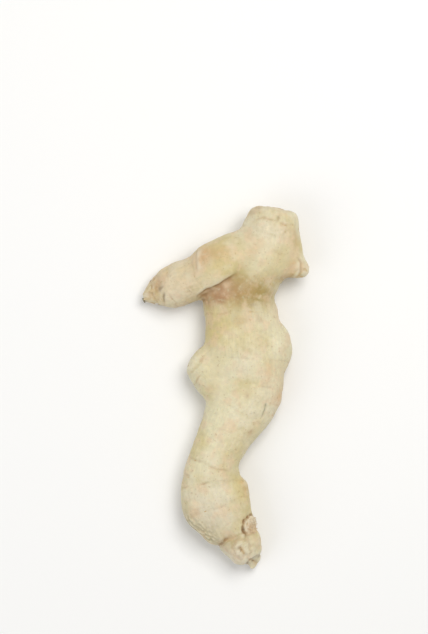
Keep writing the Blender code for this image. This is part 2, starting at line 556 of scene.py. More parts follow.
@dataclass
class BrokenStub:
    """A side shoot torn off short: a sunken, fibrous face, its left-side gap painted dark as shade.

    Places and sizes are in millimetres. The gap's width is a share of the face's half
    size, and the pit lies in the gap, placed from the face's middle.
    """

    centre: tuple[float, float, float] = (15.3, -84.8, 19.0)
    half_size: tuple[float, float, float] = (5.4, 7.0, 9.0)
    turn: float = -19.0
    ragged: float = 0.20
    gap_depth: float = 1.5
    gap_width: float = 0.10
    fibre_gap: float = 1.2
    fibre_height: float = 0.35
    crumb_size: float = 1.3
    crumb_height: float = 0.45
    rise: float = 0.45
    fall_to_the_right: float = 0.08
    pit: tuple[float, float] = (-4.6, -2.1)
    pit_size: tuple[float, float] = (0.9, 1.5)
    pit_depth: float = 1.1

    def carve(self, skin: SkinMap) -> None:
        """Cuts the gap and pit, tears and colours the face, and paints shade in the hollows.

        Args:
            skin: The map to change.
        """
        half_width, half_length, half_height = self.half_size
        away = (skin.points - np.array(self.centre) * MM) / MM
        across, length = turned(away, self.turn)
        sunken = np.minimum(away[:, 2], 0) / half_height
        radius = np.sqrt((across / half_width) ** 2 + (length / half_length) ** 2 + sunken**2)
        radius = radius + self.ragged * lumps(skin.points, 3.4 * MM, 31)
        side = smooth_step(-across / half_width, -0.25, 0.55)
        uneven = 0.35 + 0.65 * smooth_step(lumps(skin.points, 2.2 * MM, 34), -0.30, 0.20)
        gap = bell(radius - 0.98, self.gap_width) * side * uneven
        face = smooth_step(-radius, -1.02, -0.80)
        torn = np.stack([away[:, 0] + 0.5 * away[:, 1], away[:, 1] - 0.5 * away[:, 0]], axis=1)
        strands = np.column_stack([torn[:, 0] * 0.22, torn[:, 1], away[:, 2]]) * MM
        fibres = 1 - 2 * np.abs(lumps(strands, self.fibre_gap * MM, 35))
        crumbs = lumps(skin.points, self.crumb_size * MM, 36)
        skin.height -= gap * self.gap_depth * MM
        rough = self.fibre_height * fibres + self.crumb_height * crumbs
        skin.height += face * (rough + self.rise - self.fall_to_the_right * across) * MM
        skin.paint(Tint.BLUSH, face * 0.75)
        skin.paint(Tint.ASH, face * smooth_step(length, -1.5, 3.5) * 0.35)
        # Painted shade between the fibres and on the low crumbs.
        skin.paint(Tint.SIENNA, face * smooth_step(-fibres, -0.45, 0.2) * 0.40)
        skin.paint(Tint.BROWN, face * smooth_step(-crumbs, 0.10, 0.5) * 0.30)
        skin.paint(Tint.OCHRE, face * smooth_step(-length, 1.0, 4.5) * 0.35)
        # Painted shade along the gap's edge and down the gap.
        skin.paint(Tint.SIENNA, bell(radius - 1.0, 0.20) * side * 0.35 * uneven)
        skin.paint(Tint.BROWN, gap * 0.85)
        pit = np.hypot(*((away[:, :2] - np.array(self.pit)) / np.array(self.pit_size)).T)
        hole = bell(pit, 1.0) * smooth_step(skin.normals[:, 2], -0.2, 0.2)
        skin.height -= hole * self.pit_depth * MM
        # Dark painted shade in the pit and down part of the gap.
        skin.paint(Tint.DARK, np.maximum(hole * 1.1, gap**2 * smooth_step(length, -6, 2) * 0.60))
        skin.cork = np.maximum(skin.cork, face * 0.8)


@dataclass
class RoundScar:
    """The scar of a shed shoot: faint rings round a low callused rim with an ochre middle.

    Places and sizes are in millimetres. The stroke and the speck are placed from the centre.
    """

    centre: tuple[float, float] = (9.9, -98.9)
    reach: float = 3.3
    moat: float = 4.7
    outer: float = 5.8
    ragged: float = 1.7
    stroke: Sequence[tuple[float, float]] = ((-1.3, 0.8), (1.7, -3.4))
    speck: tuple[float, float] = (-1.6, 0.9)

    def carve(self, skin: SkinMap) -> None:
        """Raises the rim, sinks the rings and colours the middle.

        Args:
            skin: The map to change.
        """
        away = skin.points[:, :2] / MM - np.array(self.centre)
        upper = smooth_step(skin.normals[:, 2], 0.1, 0.4)
        distance = np.hypot(away[:, 0], away[:, 1] * 0.90)
        distance = distance + self.ragged * lumps(skin.points, 2.4 * MM, 41)
        rim = bell(distance - self.reach, 0.95) * upper
        moat = bell(distance - self.moat, 0.55) * upper
        outer = bell(distance - self.outer, 0.6) * upper
        middle = smooth_step(-distance, -self.reach, -0.4 * self.reach) * upper
        grain = grains(skin.points, 1.5 * MM, 42)
        skin.height += (rim * (0.02 + 0.15 * grain) - moat * 0.09 - middle * 0.10) * MM
        skin.height += (middle * 0.35 * grain - outer * 0.22) * MM
        skin.paint(Tint.SIENNA, moat * 0.30 + outer * 0.30)
        skin.paint(Tint.CREAM, rim * 0.12)
        aside, share = skin.beside((np.array(self.centre) + np.array(self.stroke)).tolist())
        stroke = bell(aside, 0.90) * smooth_step(-share, -0.999, -0.9) * upper
        skin.paint(Tint.OCHRE, stroke * (0.75 + 0.25 * grain))
        speck = bell(np.hypot(*(away - np.array(self.speck)).T), 0.95)
        skin.paint(Tint.BROWN, speck * upper * 0.95)
        crumbs = smooth_step(lumps(skin.points, 1.7 * MM, 43), 0.22, 0.45)
        skin.paint(Tint.BROWN, crumbs * middle * 0.55)
        skin.cork = np.maximum(skin.cork, np.maximum(rim * 0.3, middle * 0.7))


@dataclass
class CallusBand:
    """Low grainy ridges of callus along the lower left edge of the haunch."""

    path: Sequence[tuple[float, float]] = ((-25.0, -79.0), (-17.0, -88.0), (-6.5, -95.0))
    width: float = 4.6
    ridge_gap: float = 2.2

    def carve(self, skin: SkinMap) -> None:
        """Raises the ridges and breaks them into grains.

        Args:
            skin: The map to change.
        """
        away, share = skin.beside(self.path)
        ragged = away + 2.2 * lumps(skin.points, 6 * MM, 54)
        band = bell(ragged, self.width) * smooth_step(skin.normals[:, 2], -0.3, 0.35)
        band = band * smooth_step(share, 0.0, 0.15) * (0.3 + 0.7 * smooth_step(-share, -1.0, -0.85))
        wavy = away + 1.1 * lumps(skin.points, 5 * MM, 53)
        ridges = 0.5 + 0.5 * np.cos(2 * math.pi * wavy / self.ridge_gap)
        grain = grains(skin.points, 1.7 * MM, 51)
        skin.height += band * (0.38 * ridges + 0.62 * grain - 0.5) * MM
        skin.paint(Tint.STRAW, band * 0.35)
        # Painted light on the raised grains and painted shade between them.
        skin.paint(Tint.CREAM, band * smooth_step(ridges * grain, 0.25, 0.8) * 0.40)
        skin.paint(Tint.GREY, band * smooth_step(-ridges * grain, -0.30, -0.02) * 0.40)
        skin.cork = np.maximum(skin.cork, band * 0.4)


@dataclass
class EndScar:
    """A healed break on the end of a lobe: a flat, corky face inside a low, uneven rim."""

    centre: tuple[float, float, float]
    facing: tuple[float, float, float]
    half_width: float
    half_height: float
    seed: int

    def carve(self, skin: SkinMap) -> None:
        """Sinks and roughens the face, raises its rim, browns both, and paints shade and light on
        the crumbs.

        Args:
            skin: The map to change.
        """
        facing = np.array(self.facing) / np.linalg.norm(self.facing)
        side = np.cross(facing, (0.0, 0.0, 1.0))
        side /= np.linalg.norm(side)
        up = np.cross(side, facing)
        away = (skin.points - np.array(self.centre) * MM) / MM
        near = smooth_step(-np.abs(away @ facing), -7.0, -4.0)
        toward = smooth_step(skin.normals @ facing, 0.35, 0.65) * near
        radius = np.hypot(away @ side / self.half_width, away @ up / self.half_height)
        radius = radius + 0.14 * lumps(skin.points, 5 * MM, self.seed)
        face = smooth_step(-radius, -1.0, -0.8) * toward
        rim = bell(radius - 1.05, 0.13) * toward
        rings = np.cos(2 * math.pi * radius * 2.5)
        crumbs = lumps(skin.points, 1.5 * MM, self.seed + 1)
        skin.height += (face * (0.16 * rings + 0.4 * crumbs - 0.5) + rim * 0.35) * MM
        skin.paint(Tint.SIENNA, face * 0.6)
        # Painted shade on the low crumbs, with the rim's own brown, then painted light on the high
        # crumbs.
        skin.paint(Tint.BROWN, face * smooth_step(-crumbs, 0.05, 0.4) * 0.6 + rim * 0.2)
        skin.paint(Tint.CREAM, face * smooth_step(crumbs, 0.15, 0.5) * 0.35)
        skin.cork = np.maximum(skin.cork, face * 0.8)


WASHES = (
    Mark(Tint.BLUSH, -33.0, 64.0, 21.0, 0.55, 1.3, 20, True),
    Mark(Tint.STRAW, -4.0, 78.0, 10.0, 0.45, 1.7, 30),
    Mark(Tint.ASH, 24.0, 94.0, 20.0, 0.60, 1.0, 0, True),
    Mark(Tint.CREAM, 26.0, 94.0, 15.0, 0.55, 1.2, 90, True),
    # Painted shade in an olive tone on the neck beside the finger.
    Mark(Tint.OLIVE, 16.0, 57.5, 10.5, 0.95, 1.5, 15),
    Mark(Tint.STRAW, 30.0, 74.0, 12.0, 0.55, 1.5, 120),
    Mark(Tint.STRAW, -8.0, 30.0, 13.0, 0.60, 2.0, 85, True),
    Mark(Tint.CREAM, 18.0, 30.0, 13.0, 0.40, 2.2, 85),
    Mark(Tint.ASH, 10.0, 14.0, 8.0, 0.35, 1.4, 80),
    Mark(Tint.ORANGE, 35.0, 6.0, 4.2, 0.28, 3.6, 82, True),
    Mark(Tint.STRAW, 24.0, 12.0, 7.0, 0.35, 2.6, 85),
    Mark(Tint.CREAM, 12.0, -22.0, 13.0, 0.60, 1.6, 50),
    Mark(Tint.STRAW, 7.5, -44.0, 5.0, 0.40, 2.6, 72, True),
    Mark(Tint.ASH, -8.0, -80.0, 20.0, 0.80, 1.2, 120, True),
    Mark(Tint.CREAM, -18.0, -76.0, 9.0, 0.50, 1.4, 110, True),
    Mark(Tint.CREAM, -30.0, 58.0, 9.0, 0.45, 2.0, 15, True),
    Mark(Tint.CREAM, 24.0, 0.0, 8.0, 0.50, 1.8, 85),
    Mark(Tint.CREAM, 29.0, -13.0, 6.0, 0.50, 1.5, 60, True),
    Mark(Tint.CREAM, -6.0, -60.0, 11.0, 0.40, 1.5, 90, True),
    Mark(Tint.STRAW, 11.0, -66.0, 7.0, 0.50, 1.8, 100),
    Mark(Tint.CREAM, 8.0, -104.0, 12.0, 0.95, 1.0, 0, True),
)

MARKS = (
    Mark(Tint.SIENNA, -12.0, 80.0, 7.0, 0.32, 1.8, 30),
    Mark(Tint.ORANGE, -13.5, 83.0, 4.2, 0.55, 1.7, 75),
    Mark(Tint.ORANGE, -3.0, 83.5, 5.0, 0.25, 1.6, 20),
    Mark(Tint.BLUSH, -40.0, 67.0, 4.5, 0.45, 1.5, 50),
    Mark(Tint.SIENNA, -43.0, 62.0, 4.5, 0.50, 1.4, 50),
    Mark(Tint.BROWN, -40.9, 61.4, 1.3, 0.75, 2.4, 42),
    Mark(Tint.BROWN, -38.3, 56.4, 0.9, 0.60, 3.0, 88),
    Mark(Tint.OCHRE, -45.5, 60.0, 4.0, 0.45, 1.6, 60),
    Mark(Tint.STRAW, -44.0, 55.5, 4.2, 0.60),
    Mark(Tint.GREY, -50.6, 54.8, 2.2, 0.95),
    Mark(Tint.DARK, -51.5, 53.6, 0.9, 0.80),
    # Painted shade under the finger's fold.
    Mark(Tint.SIENNA, -1.0, 58.0, 6.5, 0.95, 2.3, 20),
    Mark(Tint.BLUSH, 0.5, 60.0, 3.4, 0.50, 1.6, 20),
    Mark(Tint.OLIVE, 8.0, 66.0, 6.0, 0.55, 1.6, 60),
    Mark(Tint.OCHRE, 15.0, 59.0, 8.0, 0.35, 1.7, 15),
    Mark(Tint.OLIVE, 22.5, 60.5, 6.5, 0.60, 1.5, 60),
    # Painted shade in an olive tone on the neck.
    Mark(Tint.OLIVE, 18.0, 54.5, 6.0, 0.55, 1.6, 15),
    Mark(Tint.BROWN, 32.0, 104.7, 0.9, 0.65, 1.8, 88),
    Mark(Tint.OCHRE, 42.5, 92.0, 3.0, 0.45, 2.6, 100),
    Mark(Tint.BLUSH, 37.0, 97.0, 5.0, 0.35),
    Mark(Tint.ORANGE, 16.0, 84.0, 4.0, 0.35, 1.6, 40),
    Mark(Tint.ORANGE, 42.0, 76.0, 4.6, 0.50, 1.4, 80),
    Mark(Tint.BLUSH, 49.0, 74.5, 3.6, 0.55),
    Mark(Tint.OCHRE, 50.3, 73.2, 1.3, 0.60),
    Mark(Tint.SIENNA, 17.5, 109.5, 2.2, 0.50, 3.0, 35, True),
    Mark(Tint.SIENNA, 38.0, 68.0, 3.0, 0.55, 2.8, 5),
    Mark(Tint.OCHRE, 9.5, 42.0, 4.0, 0.45, 1.4, 20),
    # Painted shade: a short dark line in a crease at the neck.
    Mark(Tint.BROWN, 16.8, 51.6, 0.9, 0.55, 2.6, 5),
    Mark(Tint.SIENNA, 21.0, 42.4, 2.0, 0.40, 1.8, 130),
    Mark(Tint.BLUSH, 32.0, 46.0, 4.0, 0.50, 2.0, 100),
    Mark(Tint.OCHRE, 35.6, 25.0, 1.6, 0.45, 1.8, 80),
    Mark(Tint.ORANGE, 26.5, 12.0, 3.2, 0.40, 2.2, 85),
    Mark(Tint.OCHRE, 13.0, -4.3, 1.9, 0.60),
    Mark(Tint.BROWN, 13.2, -4.4, 0.8, 0.45),
    Mark(Tint.ORANGE, 33.0, -6.0, 2.6, 0.55, 2.6, 85),
    Mark(Tint.GREY, 24.2, -10.4, 0.9, 0.45, 1.6, 100),
    Mark(Tint.SIENNA, 15.0, -27.0, 1.5, 0.45, 1.8, 40),
    Mark(Tint.OCHRE, 12.6, -61.3, 2.6, 0.65, 1.5, 95),
    Mark(Tint.ORANGE, 10.0, -58.0, 2.2, 0.40),
    Mark(Tint.OLIVE, -24.0, -78.0, 3.6, 0.45, 1.8, 120),
    Mark(Tint.ORANGE, 0.0, -100.8, 2.0, 0.60, 1.3, 120),
    Mark(Tint.OLIVE, 0.5, -97.5, 4.4, 0.65, 1.6, 40),
    Mark(Tint.OCHRE, 20.5, -95.0, 2.6, 0.40, 1.8, 110),
    Mark(Tint.BLUSH, 7.0, -106.5, 3.2, 0.45, 1.4, 20),
    Mark(Tint.BROWN, 20.6, -104.4, 1.1, 0.60, 1.5, 60),
    # Painted shadow at the left of the nub.
    Mark(Tint.BROWN, 13.4, -108.4, 1.0, 0.60, 1.8, 60),
)

TORN_STUB = BrokenStub()

SCARS = (
    # Painted shade under the finger where it laps over the stem's flank.
    Lap(
        [(-19.5, 55.8), (-13.5, 60.4), (-4.0, 65.0), (9.0, 73.0)],
        1.2, 0.35, 6.5, Tint.SIENNA, 0.75, 0.28,
    ),
    # Painted shade on the lower side of the step across the finger.
    Lap([(-17.2, 88.0), (-17.8, 79.0), (-17.4, 70.5)], 0.55, 0.30, 4.5, Tint.OLIVE, 0.25, 0.12),
    CallusBand(),
    Groove(
        [(-14.0, -104.5), (-7.5, -100.5), (-3.5, -97.6), (-0.5, -94.0), (4.0, -91.0)],
        1.4, 0.9, Tint.SIENNA, 0.25, 0.5, True,
    ),
    Groove(
        [
            (-12.0, -97.0), (-5.6, -100.0), (-3.8, -103.0),
            (-1.8, -105.8), (2.4, -109.0), (8.0, -113.0),
        ],
        5.0, 2.9, Tint.CREAM, 0.40, 0.4, True,
    ),
    # Painted shade along the soft valley between the tail's ball and the haunch.
    Groove(
        [(-9.0, -100.0), (-4.0, -97.5), (0.0, -94.5), (4.0, -92.6), (9.5, -92.0)],
        3.0, 0.45, Tint.OLIVE, 0.35, 0.8, True,
    ),
    TORN_STUB,
    RoundScar(),
    # Painted shade in the gap between the tail's ball and the nub.
    Groove(
        [(11.4, -109.6), (14.0, -107.0), (16.9, -105.2), (20.4, -103.2)],
        0.6, 0.7, Tint.BROWN, 0.45, 0.3, True,
    ),
    Groove(
        [(13.0, -104.9), (16.2, -106.8), (17.9, -108.0), (21.1, -109.8)],
        0.9, 0.7, Tint.OCHRE, 0.4, 0.1, True,
    ),
    Groove([(25.0, -8.5), (23.6, -13.5), (21.6, -18.8)]),
    Groove([(44.6, 81.0), (46.3, 76.4), (45.8, 70.0)], 0.8, 0.6, Tint.BROWN, 0.45),
    Groove([(-43.8, 63.2), (-40.9, 60.9), (-38.6, 62.8)], 0.5, 0.35, Tint.BROWN, 0.5),
    Groove([(-38.0, 59.2), (-38.5, 55.8), (-38.0, 52.5)], 0.5, 0.35, Tint.BROWN, 0.5),
    Groove([(17.5, 103.4), (23.0, 105.0), (31.0, 103.2)], 0.6, 0.2, Tint.SIENNA, 0.3),
    EndScar((30.0, 112.5, 17.5), (0.03, 1.0, 0.05), 10.5, 8.0, 95),
    EndScar((-28.0, 23.5, 12.5), (-0.83, 0.56, 0.0), 6.0, 5.6, 91),
)


@dataclass
class RootScars:
    """Round scars where rootlets were trimmed off, all of them underneath.

    A knob's reach is in millimetres, and the moat round it lies at a multiple of that.
    """

    count: int = 46
    tries: int = 4000
    spacing: float = 7.5 * MM
    least_level: float = 4.5 * MM
    facing_down: tuple[float, float] = (-0.95, -0.52)
    knob_reach: tuple[float, float] = (0.9, 1.5)
    knob_height: float = 0.45 * MM
    moat_place: float = 1.9
    moat_width: float = 0.5
    moat_depth: float = 0.16 * MM
    seed: int = 23
    chosen: np.ndarray = field(init=False)

    def carve(self, skin: SkinMap) -> None:
        """Picks the places, then raises a low knob inside a ring at each.

        Args:
            skin: The map to change.
        """
        random = np.random.default_rng(self.seed)
        facing, level = skin.normals[:, 2], skin.points[:, 2]
        least, most = self.facing_down
        below = np.flatnonzero((facing < most) & (facing > least) & (level > self.least_level))
        chosen: list[int] = []
        for index in random.permutation(below)[: self.tries]:
            if len(chosen) == self.count:
                break
            apart = np.linalg.norm(skin.points[chosen] - skin.points[index], axis=1)
            if not chosen or apart.min() > self.spacing:
                chosen.append(int(index))
        self.chosen = np.array(chosen)
        for index in chosen:
            away = np.linalg.norm(skin.points - skin.points[index], axis=1) / MM
            reach = float(random.uniform(*self.knob_reach))
            knob = bell(away, reach)
            moat = bell(away - self.moat_place * reach, self.moat_width)
            skin.height += knob * self.knob_height - moat * self.moat_depth
            skin.paint(Tint.SIENNA, moat * 0.35)
            skin.paint(Tint.BROWN, knob * 0.45)


@dataclass
class RhizomeSkin:
    """The whole outside of the rhizome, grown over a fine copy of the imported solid.

    A vertex lies on a seam where the closeness of its two nearest lobes differs by less
    than the seam's gaps. Each layer of lumps, and of the rings' wander, is a size, a
    height and a seed. The swelling between two rings is full where they are full_gap
    apart.
    """

    cell: float = 0.70 * MM
    facet_smoothing: int = 12
    swell: float = 0.20 * MM
    full_gap: float = 9 * MM
    ring_depth: float = 0.30 * MM
    ring_width: float = 0.62 * MM
    ring_slant: tuple[float, float] = (0.12, 0.10)
    ring_wander: Sequence[tuple[float, float, int]] = (
        (8 * MM, 1.7 * MM, 6), (2.5 * MM, 0.5 * MM, 7),
    )
    lip_height: float = 0.24 * MM
    lip_width: float = 0.75 * MM
    lip_offset: float = 1.25 * MM
    wrinkle_height: float = 0.05 * MM
    wrinkle_stretch: float = 0.22
    wrinkle_gap: float = 3.4 * MM
    lump_layers: Sequence[tuple[float, float, int]] = (
        (16 * MM, 0.60 * MM, 1), (7 * MM, 0.34 * MM, 2),
        (3.1 * MM, 0.13 * MM, 3), (1.7 * MM, 0.05 * MM, 9),
    )
    dent_size: float = 9 * MM
    dent_depth: float = 0.35 * MM
    seam_gaps: tuple[float, float] = (0.03, 0.34)
    seam_rounds: int = 40
    fade_rounds: int = 24
    fade_length: float = 8.0 * MM
    hollow_rounds: int = 16
    crease_depth: float = 0.35 * MM
    crease_width: float = 0.10
    crease_centre: tuple[float, float, float] = (-10.0 * MM, 60.0 * MM, 14.0 * MM)
    crease_reach: tuple[float, float, float] = (13.0 * MM, 11.0 * MM, 14.0 * MM)
    ball_centre: tuple[float, float] = (8.0 * MM, -101.0 * MM)
    ball_reach: float = 10.5 * MM
    ball_lean: tuple[float, float, float] = (1.6 * MM, -0.3 * MM, 0.0)
    level_below: tuple[float, float] = (0.15 * MM, 1.6 * MM)
    box_reach: float = 7.0 * MM
    full_hollow: float = 0.9 * MM
    lobes: Sequence[Lobe] = (STEM, FINGER, BUD, STUMP, NUB)
    root_scars: RootScars = field(default_factory=RootScars)
    piece: bpy.types.Object = field(init=False)
    map: SkinMap = field(init=False)
    axis: np.ndarray = field(init=False)
    clear: np.ndarray = field(init=False)

    def build(self) -> bpy.types.Object:
        """Makes the finished skin.

        Returns:
            The skin's object, with its patterns stored as attributes.
        """
        self.piece = self.fine_copy()
        mesh = self.piece.data
        edges = np.empty(len(mesh.edges) * 2, np.int32)
        mesh.edges.foreach_get("vertices", edges)
        edges = edges.reshape(-1, 2)
        points = self.vertices()
        owner, seam = self.assign(points)
        crease = self.riding_crease(points, seam)
        points = relaxed(points, edges, 0.5 * seam * (1 - crease), self.seam_rounds)
        points = self.lean(points)
        self.place(points)
        skin = self.map = SkinMap.of(points, self.directions())
        stretches = self.own_stretches(owner, seam, edges)
        self.clear = np.max(stretches, axis=0)
        self.lump_and_wrinkle(skin, owner)
        self.swell_and_ring(skin, stretches)
        skin.height -= crease * self.crease_depth
        for mark in WASHES + MARKS:
            self.lay_mark(skin, mark)
        for scar in (self.root_scars, *SCARS):
            scar.carve(skin)
        settled = smooth_step(points[:, 2], *self.level_below)
        shaped = points + skin.normals * (skin.height * settled)[:, None]
        self.place(self.boxed(shaped))
        self.axis = self.of_owner(owner, "axis")
        self.store(owner, self.hollows(edges))
        for polygon in mesh.polygons:
            polygon.use_smooth = True
        return self.piece

    def fine_copy(self) -> bpy.types.Object:
        """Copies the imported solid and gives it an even, fine mesh.

        Returns:
            A new object with the copy.
        """
        merged = bmesh.new()
        merged.from_mesh(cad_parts[CAD_NODE].data)
        bmesh.ops.remove_doubles(merged, verts=merged.verts, dist=1e-6)
        coarse = bpy.data.meshes.new("ginger_skin_coarse")
        merged.to_mesh(coarse)
        merged.free()
        coarse.materials.clear()
        holder = add_object("ginger_skin_coarse", coarse)
        even = holder.modifiers.new("even_mesh", "REMESH")
        even.mode = "VOXEL"
        even.voxel_size = self.cell
        soften = holder.modifiers.new("soften_facets", "SMOOTH")
        soften.factor = 0.5
        soften.iterations = self.facet_smoothing
        graph = bpy.context.evaluated_depsgraph_get()
        fine = bpy.data.meshes.new_from_object(holder.evaluated_get(graph))
        bpy.data.objects.remove(holder)
        bpy.data.meshes.remove(coarse)
        fine.name = "ginger_skin"
        return add_object("ginger_skin", fine)

    def rows(self, measure: str, name: str) -> np.ndarray:
        """Reads three numbers of each vertex.

        Args:
            measure: The mesh's collection, such as "vertices".
            name: What is read of each of its items, such as "co".

        Returns:
            One row for each vertex.
        """
        values = np.empty(len(self.piece.data.vertices) * 3, np.float32)
        getattr(self.piece.data, measure).foreach_get(name, values)
        return values.reshape(-1, 3).astype(float)

    def vertices(self) -> np.ndarray:
        """Reads the skin's vertices, one row each."""
        return self.rows("vertices", "co")

    def directions(self) -> np.ndarray:
        """Reads the skin's vertex normals, one row each."""
        return self.rows("vertex_normals", "vector")

    def place(self, points: np.ndarray) -> None:
        """Moves the skin's vertices.

        Args:
            points: Their new places, one row each.
        """
        self.piece.data.vertices.foreach_set("co", points.astype(np.float32).ravel())
        self.piece.data.update()

    def assign(self, points: np.ndarray) -> tuple[np.ndarray, np.ndarray]:
        """Finds which lobe each vertex belongs to.

        Args:
            points: The vertices.

        Returns:
            Each vertex's lobe by number, and how near it is to a seam, from 0 to 1.
        """
        for lobe in self.lobes:
            lobe.measure(points)
        close = np.stack([lobe.closeness for lobe in self.lobes])
        ranked = np.sort(close, axis=0)
        seam = 1 - smooth_step(ranked[1] - ranked[0], *self.seam_gaps)
        return np.argmin(close, axis=0), seam

    def lean(self, points: np.ndarray) -> np.ndarray:
        """Leans the ball at the tail's end towards the side of the broken stub.

        Args:
            points: The vertices.

        Returns:
            The vertices, moved by up to ball_lean near the ball's middle.
        """
        away = np.linalg.norm(points[:, :2] - np.array(self.ball_centre), axis=1)
        near = bell(away, self.ball_reach)
        return points + near[:, None] * np.array(self.ball_lean)

    def riding_crease(self, points: np.ndarray, seam: np.ndarray) -> np.ndarray:
        """Finds where the finger rides over the stem's flank and leaves a sharp crease.

        Args:
            points: The vertices.
            seam: How near each vertex is to a seam.

        Returns:
            1 in the crease, 0 away from it.
        """
        pair = np.abs(FINGER.closeness - STEM.closeness)
        place = (points - np.array(self.crease_centre)) / np.array(self.crease_reach)
        near = smooth_step(-np.linalg.norm(place, axis=1), -1.1, -0.7)
        return bell(pair, self.crease_width) * near * (seam > 0)

    def own_stretches(
        self, owner: np.ndarray, seam: np.ndarray, edges: np.ndarray
    ) -> list[np.ndarray]:
        """Finds how much of each lobe's own pattern shows at each vertex.

        Args:
            owner: Each vertex's lobe by number.
            seam: How near each vertex is to a seam.
            edges: The two vertices of each edge.

        Returns:
            For each lobe, 1 well inside it, fading softly to 0 towards its neighbours.
        """
        stretches = []
        for number, lobe in enumerate(self.lobes):
            start = lobe.plain_root * MM - self.fade_length / 2
            begun = smooth_step(lobe.along, start, start + self.fade_length)
            mine = np.where(owner == number, (1 - seam) * begun, 0.0)
            even = relaxed(mine[:, None], edges, 0.6, self.fade_rounds)[:, 0]
            # A lobe that bears off at an angle shows its pattern only well clear of its root.
            stretches.append(np.clip(2 * even - 1, 0, 1) if lobe.plain_root > 0 else even)
        return stretches

    def of_owner(self, owner: np.ndarray, name: str) -> np.ndarray:
        """Gathers one of the lobes' measures at each vertex, from the lobe that owns it."""
        stacked = np.stack([getattr(lobe, name) for lobe in self.lobes])
        return stacked[owner, np.arange(len(owner))]

    def lump_and_wrinkle(self, skin: SkinMap, owner: np.ndarray) -> None:
        """Adds lumps, shallow dents and the lengthwise wrinkles.

        Args:
            skin: The map to change.
            owner: Each vertex's lobe by number.
        """
        points = skin.points
        for size, height, seed in self.lump_layers:
            skin.height += lumps(points, size, seed) * height
        skin.height -= smooth_step(lumps(points, self.dent_size, 4), 0.36, 0.66) * self.dent_depth
        slim = self.of_owner(owner, "grain") * np.array((self.wrinkle_stretch, 1.0, 1.0))
        ridges = 1 - np.abs(lumps(slim, self.wrinkle_gap, 5)) * 2
        skin.height += ridges * self.clear * self.wrinkle_height

    def swell_and_ring(self, skin: SkinMap, stretches: list[np.ndarray]) -> None:
        """Adds the swelling between rings, and each ring's groove and lip.

        Args:
            skin: The map to change.
            stretches: How much of each lobe's own pattern shows at each vertex.
        """
        points = skin.points
        wander = sum(height * lumps(points, size, seed) for size, height, seed in self.ring_wander)
        showing = smooth_step(lumps(points, 10 * MM, 8), -0.30, 0.30)
        for lobe, mine in zip(self.lobes, stretches):
            askew = lobe.grain[:, 1:] @ np.array(self.ring_slant)
            along = lobe.along + wander * min(1.0, lobe.ring_gap / 8) + askew
            places, strengths = lobe.rings()
            after = np.clip(np.searchsorted(places, along), 1, len(places) - 1)
            gap = places[after] - places[after - 1]
            share = np.clip((along - places[after - 1]) / gap, 0, 1)
            size = np.minimum(gap / self.full_gap, 1.2)
            skin.height += mine * np.sin(math.pi * share) * self.swell * size
            for place, strength in zip(places, strengths):
                shown = strength * mine * showing
                groove = bell(along - place, self.ring_width) * shown
                lip = bell(along - place + self.lip_offset, self.lip_width) * shown
                skin.height += lip * self.lip_height - groove * self.ring_depth
                skin.ring = np.maximum(skin.ring, groove)

    def lay_mark(self, skin: SkinMap, mark: Mark) -> None:
        """Colours one mark.

        Args:
            skin: The map to change.
            mark: The mark.
        """
        length, across = turned(skin.points[:, :2] / MM - np.array((mark.x, mark.y)), mark.turn)
        away = np.hypot(length / mark.stretch, across) / mark.reach
        near = away < 2.2
        ragged = np.zeros(len(away))
        lump = min(6.0, max(2.0, mark.reach * 0.8)) * MM
        ragged[near] = 0.35 * lumps(skin.points[near], lump, 71)
        lowest = -9.0 if mark.all_round else 5.0
        upper = smooth_step(skin.points[:, 2], lowest * MM, (lowest + 6) * MM)
        cover = np.exp(-np.maximum(away + ragged, 0) ** 2 * 1.3) * near
        skin.paint(mark.tint, cover * mark.strength * upper)

    def boxed(self, points: np.ndarray) -> np.ndarray:
        """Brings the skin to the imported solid's exact box.

        Args:
            points: The shaped vertices.

        Returns:
            The vertices, moved a little close to each side of the box where they fell short
            or stood out, and left alone elsewhere.
        """
        low, high = (np.array(corner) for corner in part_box(CAD_NODE))
        # Nothing may hang below the flats that the rhizome rests on.
        points = np.maximum(points, (-np.inf, -np.inf, low[2]))
        for axis in range(3):
            place = points[:, axis]
            least, most = place.min(), place.max()
            lower = smooth_step(-place, -least - self.box_reach, -least) * (low[axis] - least)
            upper = smooth_step(place, most - self.box_reach, most) * (high[axis] - most)
            points[:, axis] = place + lower + upper
        return points

    def hollows(self, edges: np.ndarray) -> np.ndarray:
        """Finds how sunken or how proud each vertex lies.

        Args:
            edges: The two vertices of each edge.

        Returns:
            0.5 on even skin, 1 in a deep crease, 0 on a sharp ridge.
        """
        points = self.vertices()
        even = relaxed(points, edges, 0.6, self.hollow_rounds)
        depth = np.einsum("ij,ij->i", even - points, self.directions())
        depth = relaxed(depth[:, None], edges, 0.5, 2)[:, 0]
        return np.clip(0.5 + depth / self.full_hollow, 0, 1)

    def store(self, owner: np.ndarray, hollow: np.ndarray) -> None:
        """Stores the patterns that the finish reads.

        Args:
            owner: Each vertex's lobe by number.
            hollow: How sunken each vertex lies.
        """
        skin, attributes = self.map, self.piece.data.attributes
        shares = {"ring": skin.ring, "cork": skin.cork, "hollow": hollow, "clear": self.clear}
        for name, values in shares.items():
            attributes.new(name, "FLOAT", "POINT").data.foreach_set(
                "value", values.astype(np.float32)
            )
        grain = self.of_owner(owner, "grain").astype(np.float32)
        attributes.new("grain", "FLOAT_VECTOR", "POINT").data.foreach_set("vector", grain.ravel())
        attributes.new("tint", "FLOAT_COLOR", "POINT").data.foreach_set(
            "color", skin.tint.astype(np.float32).ravel()
        )


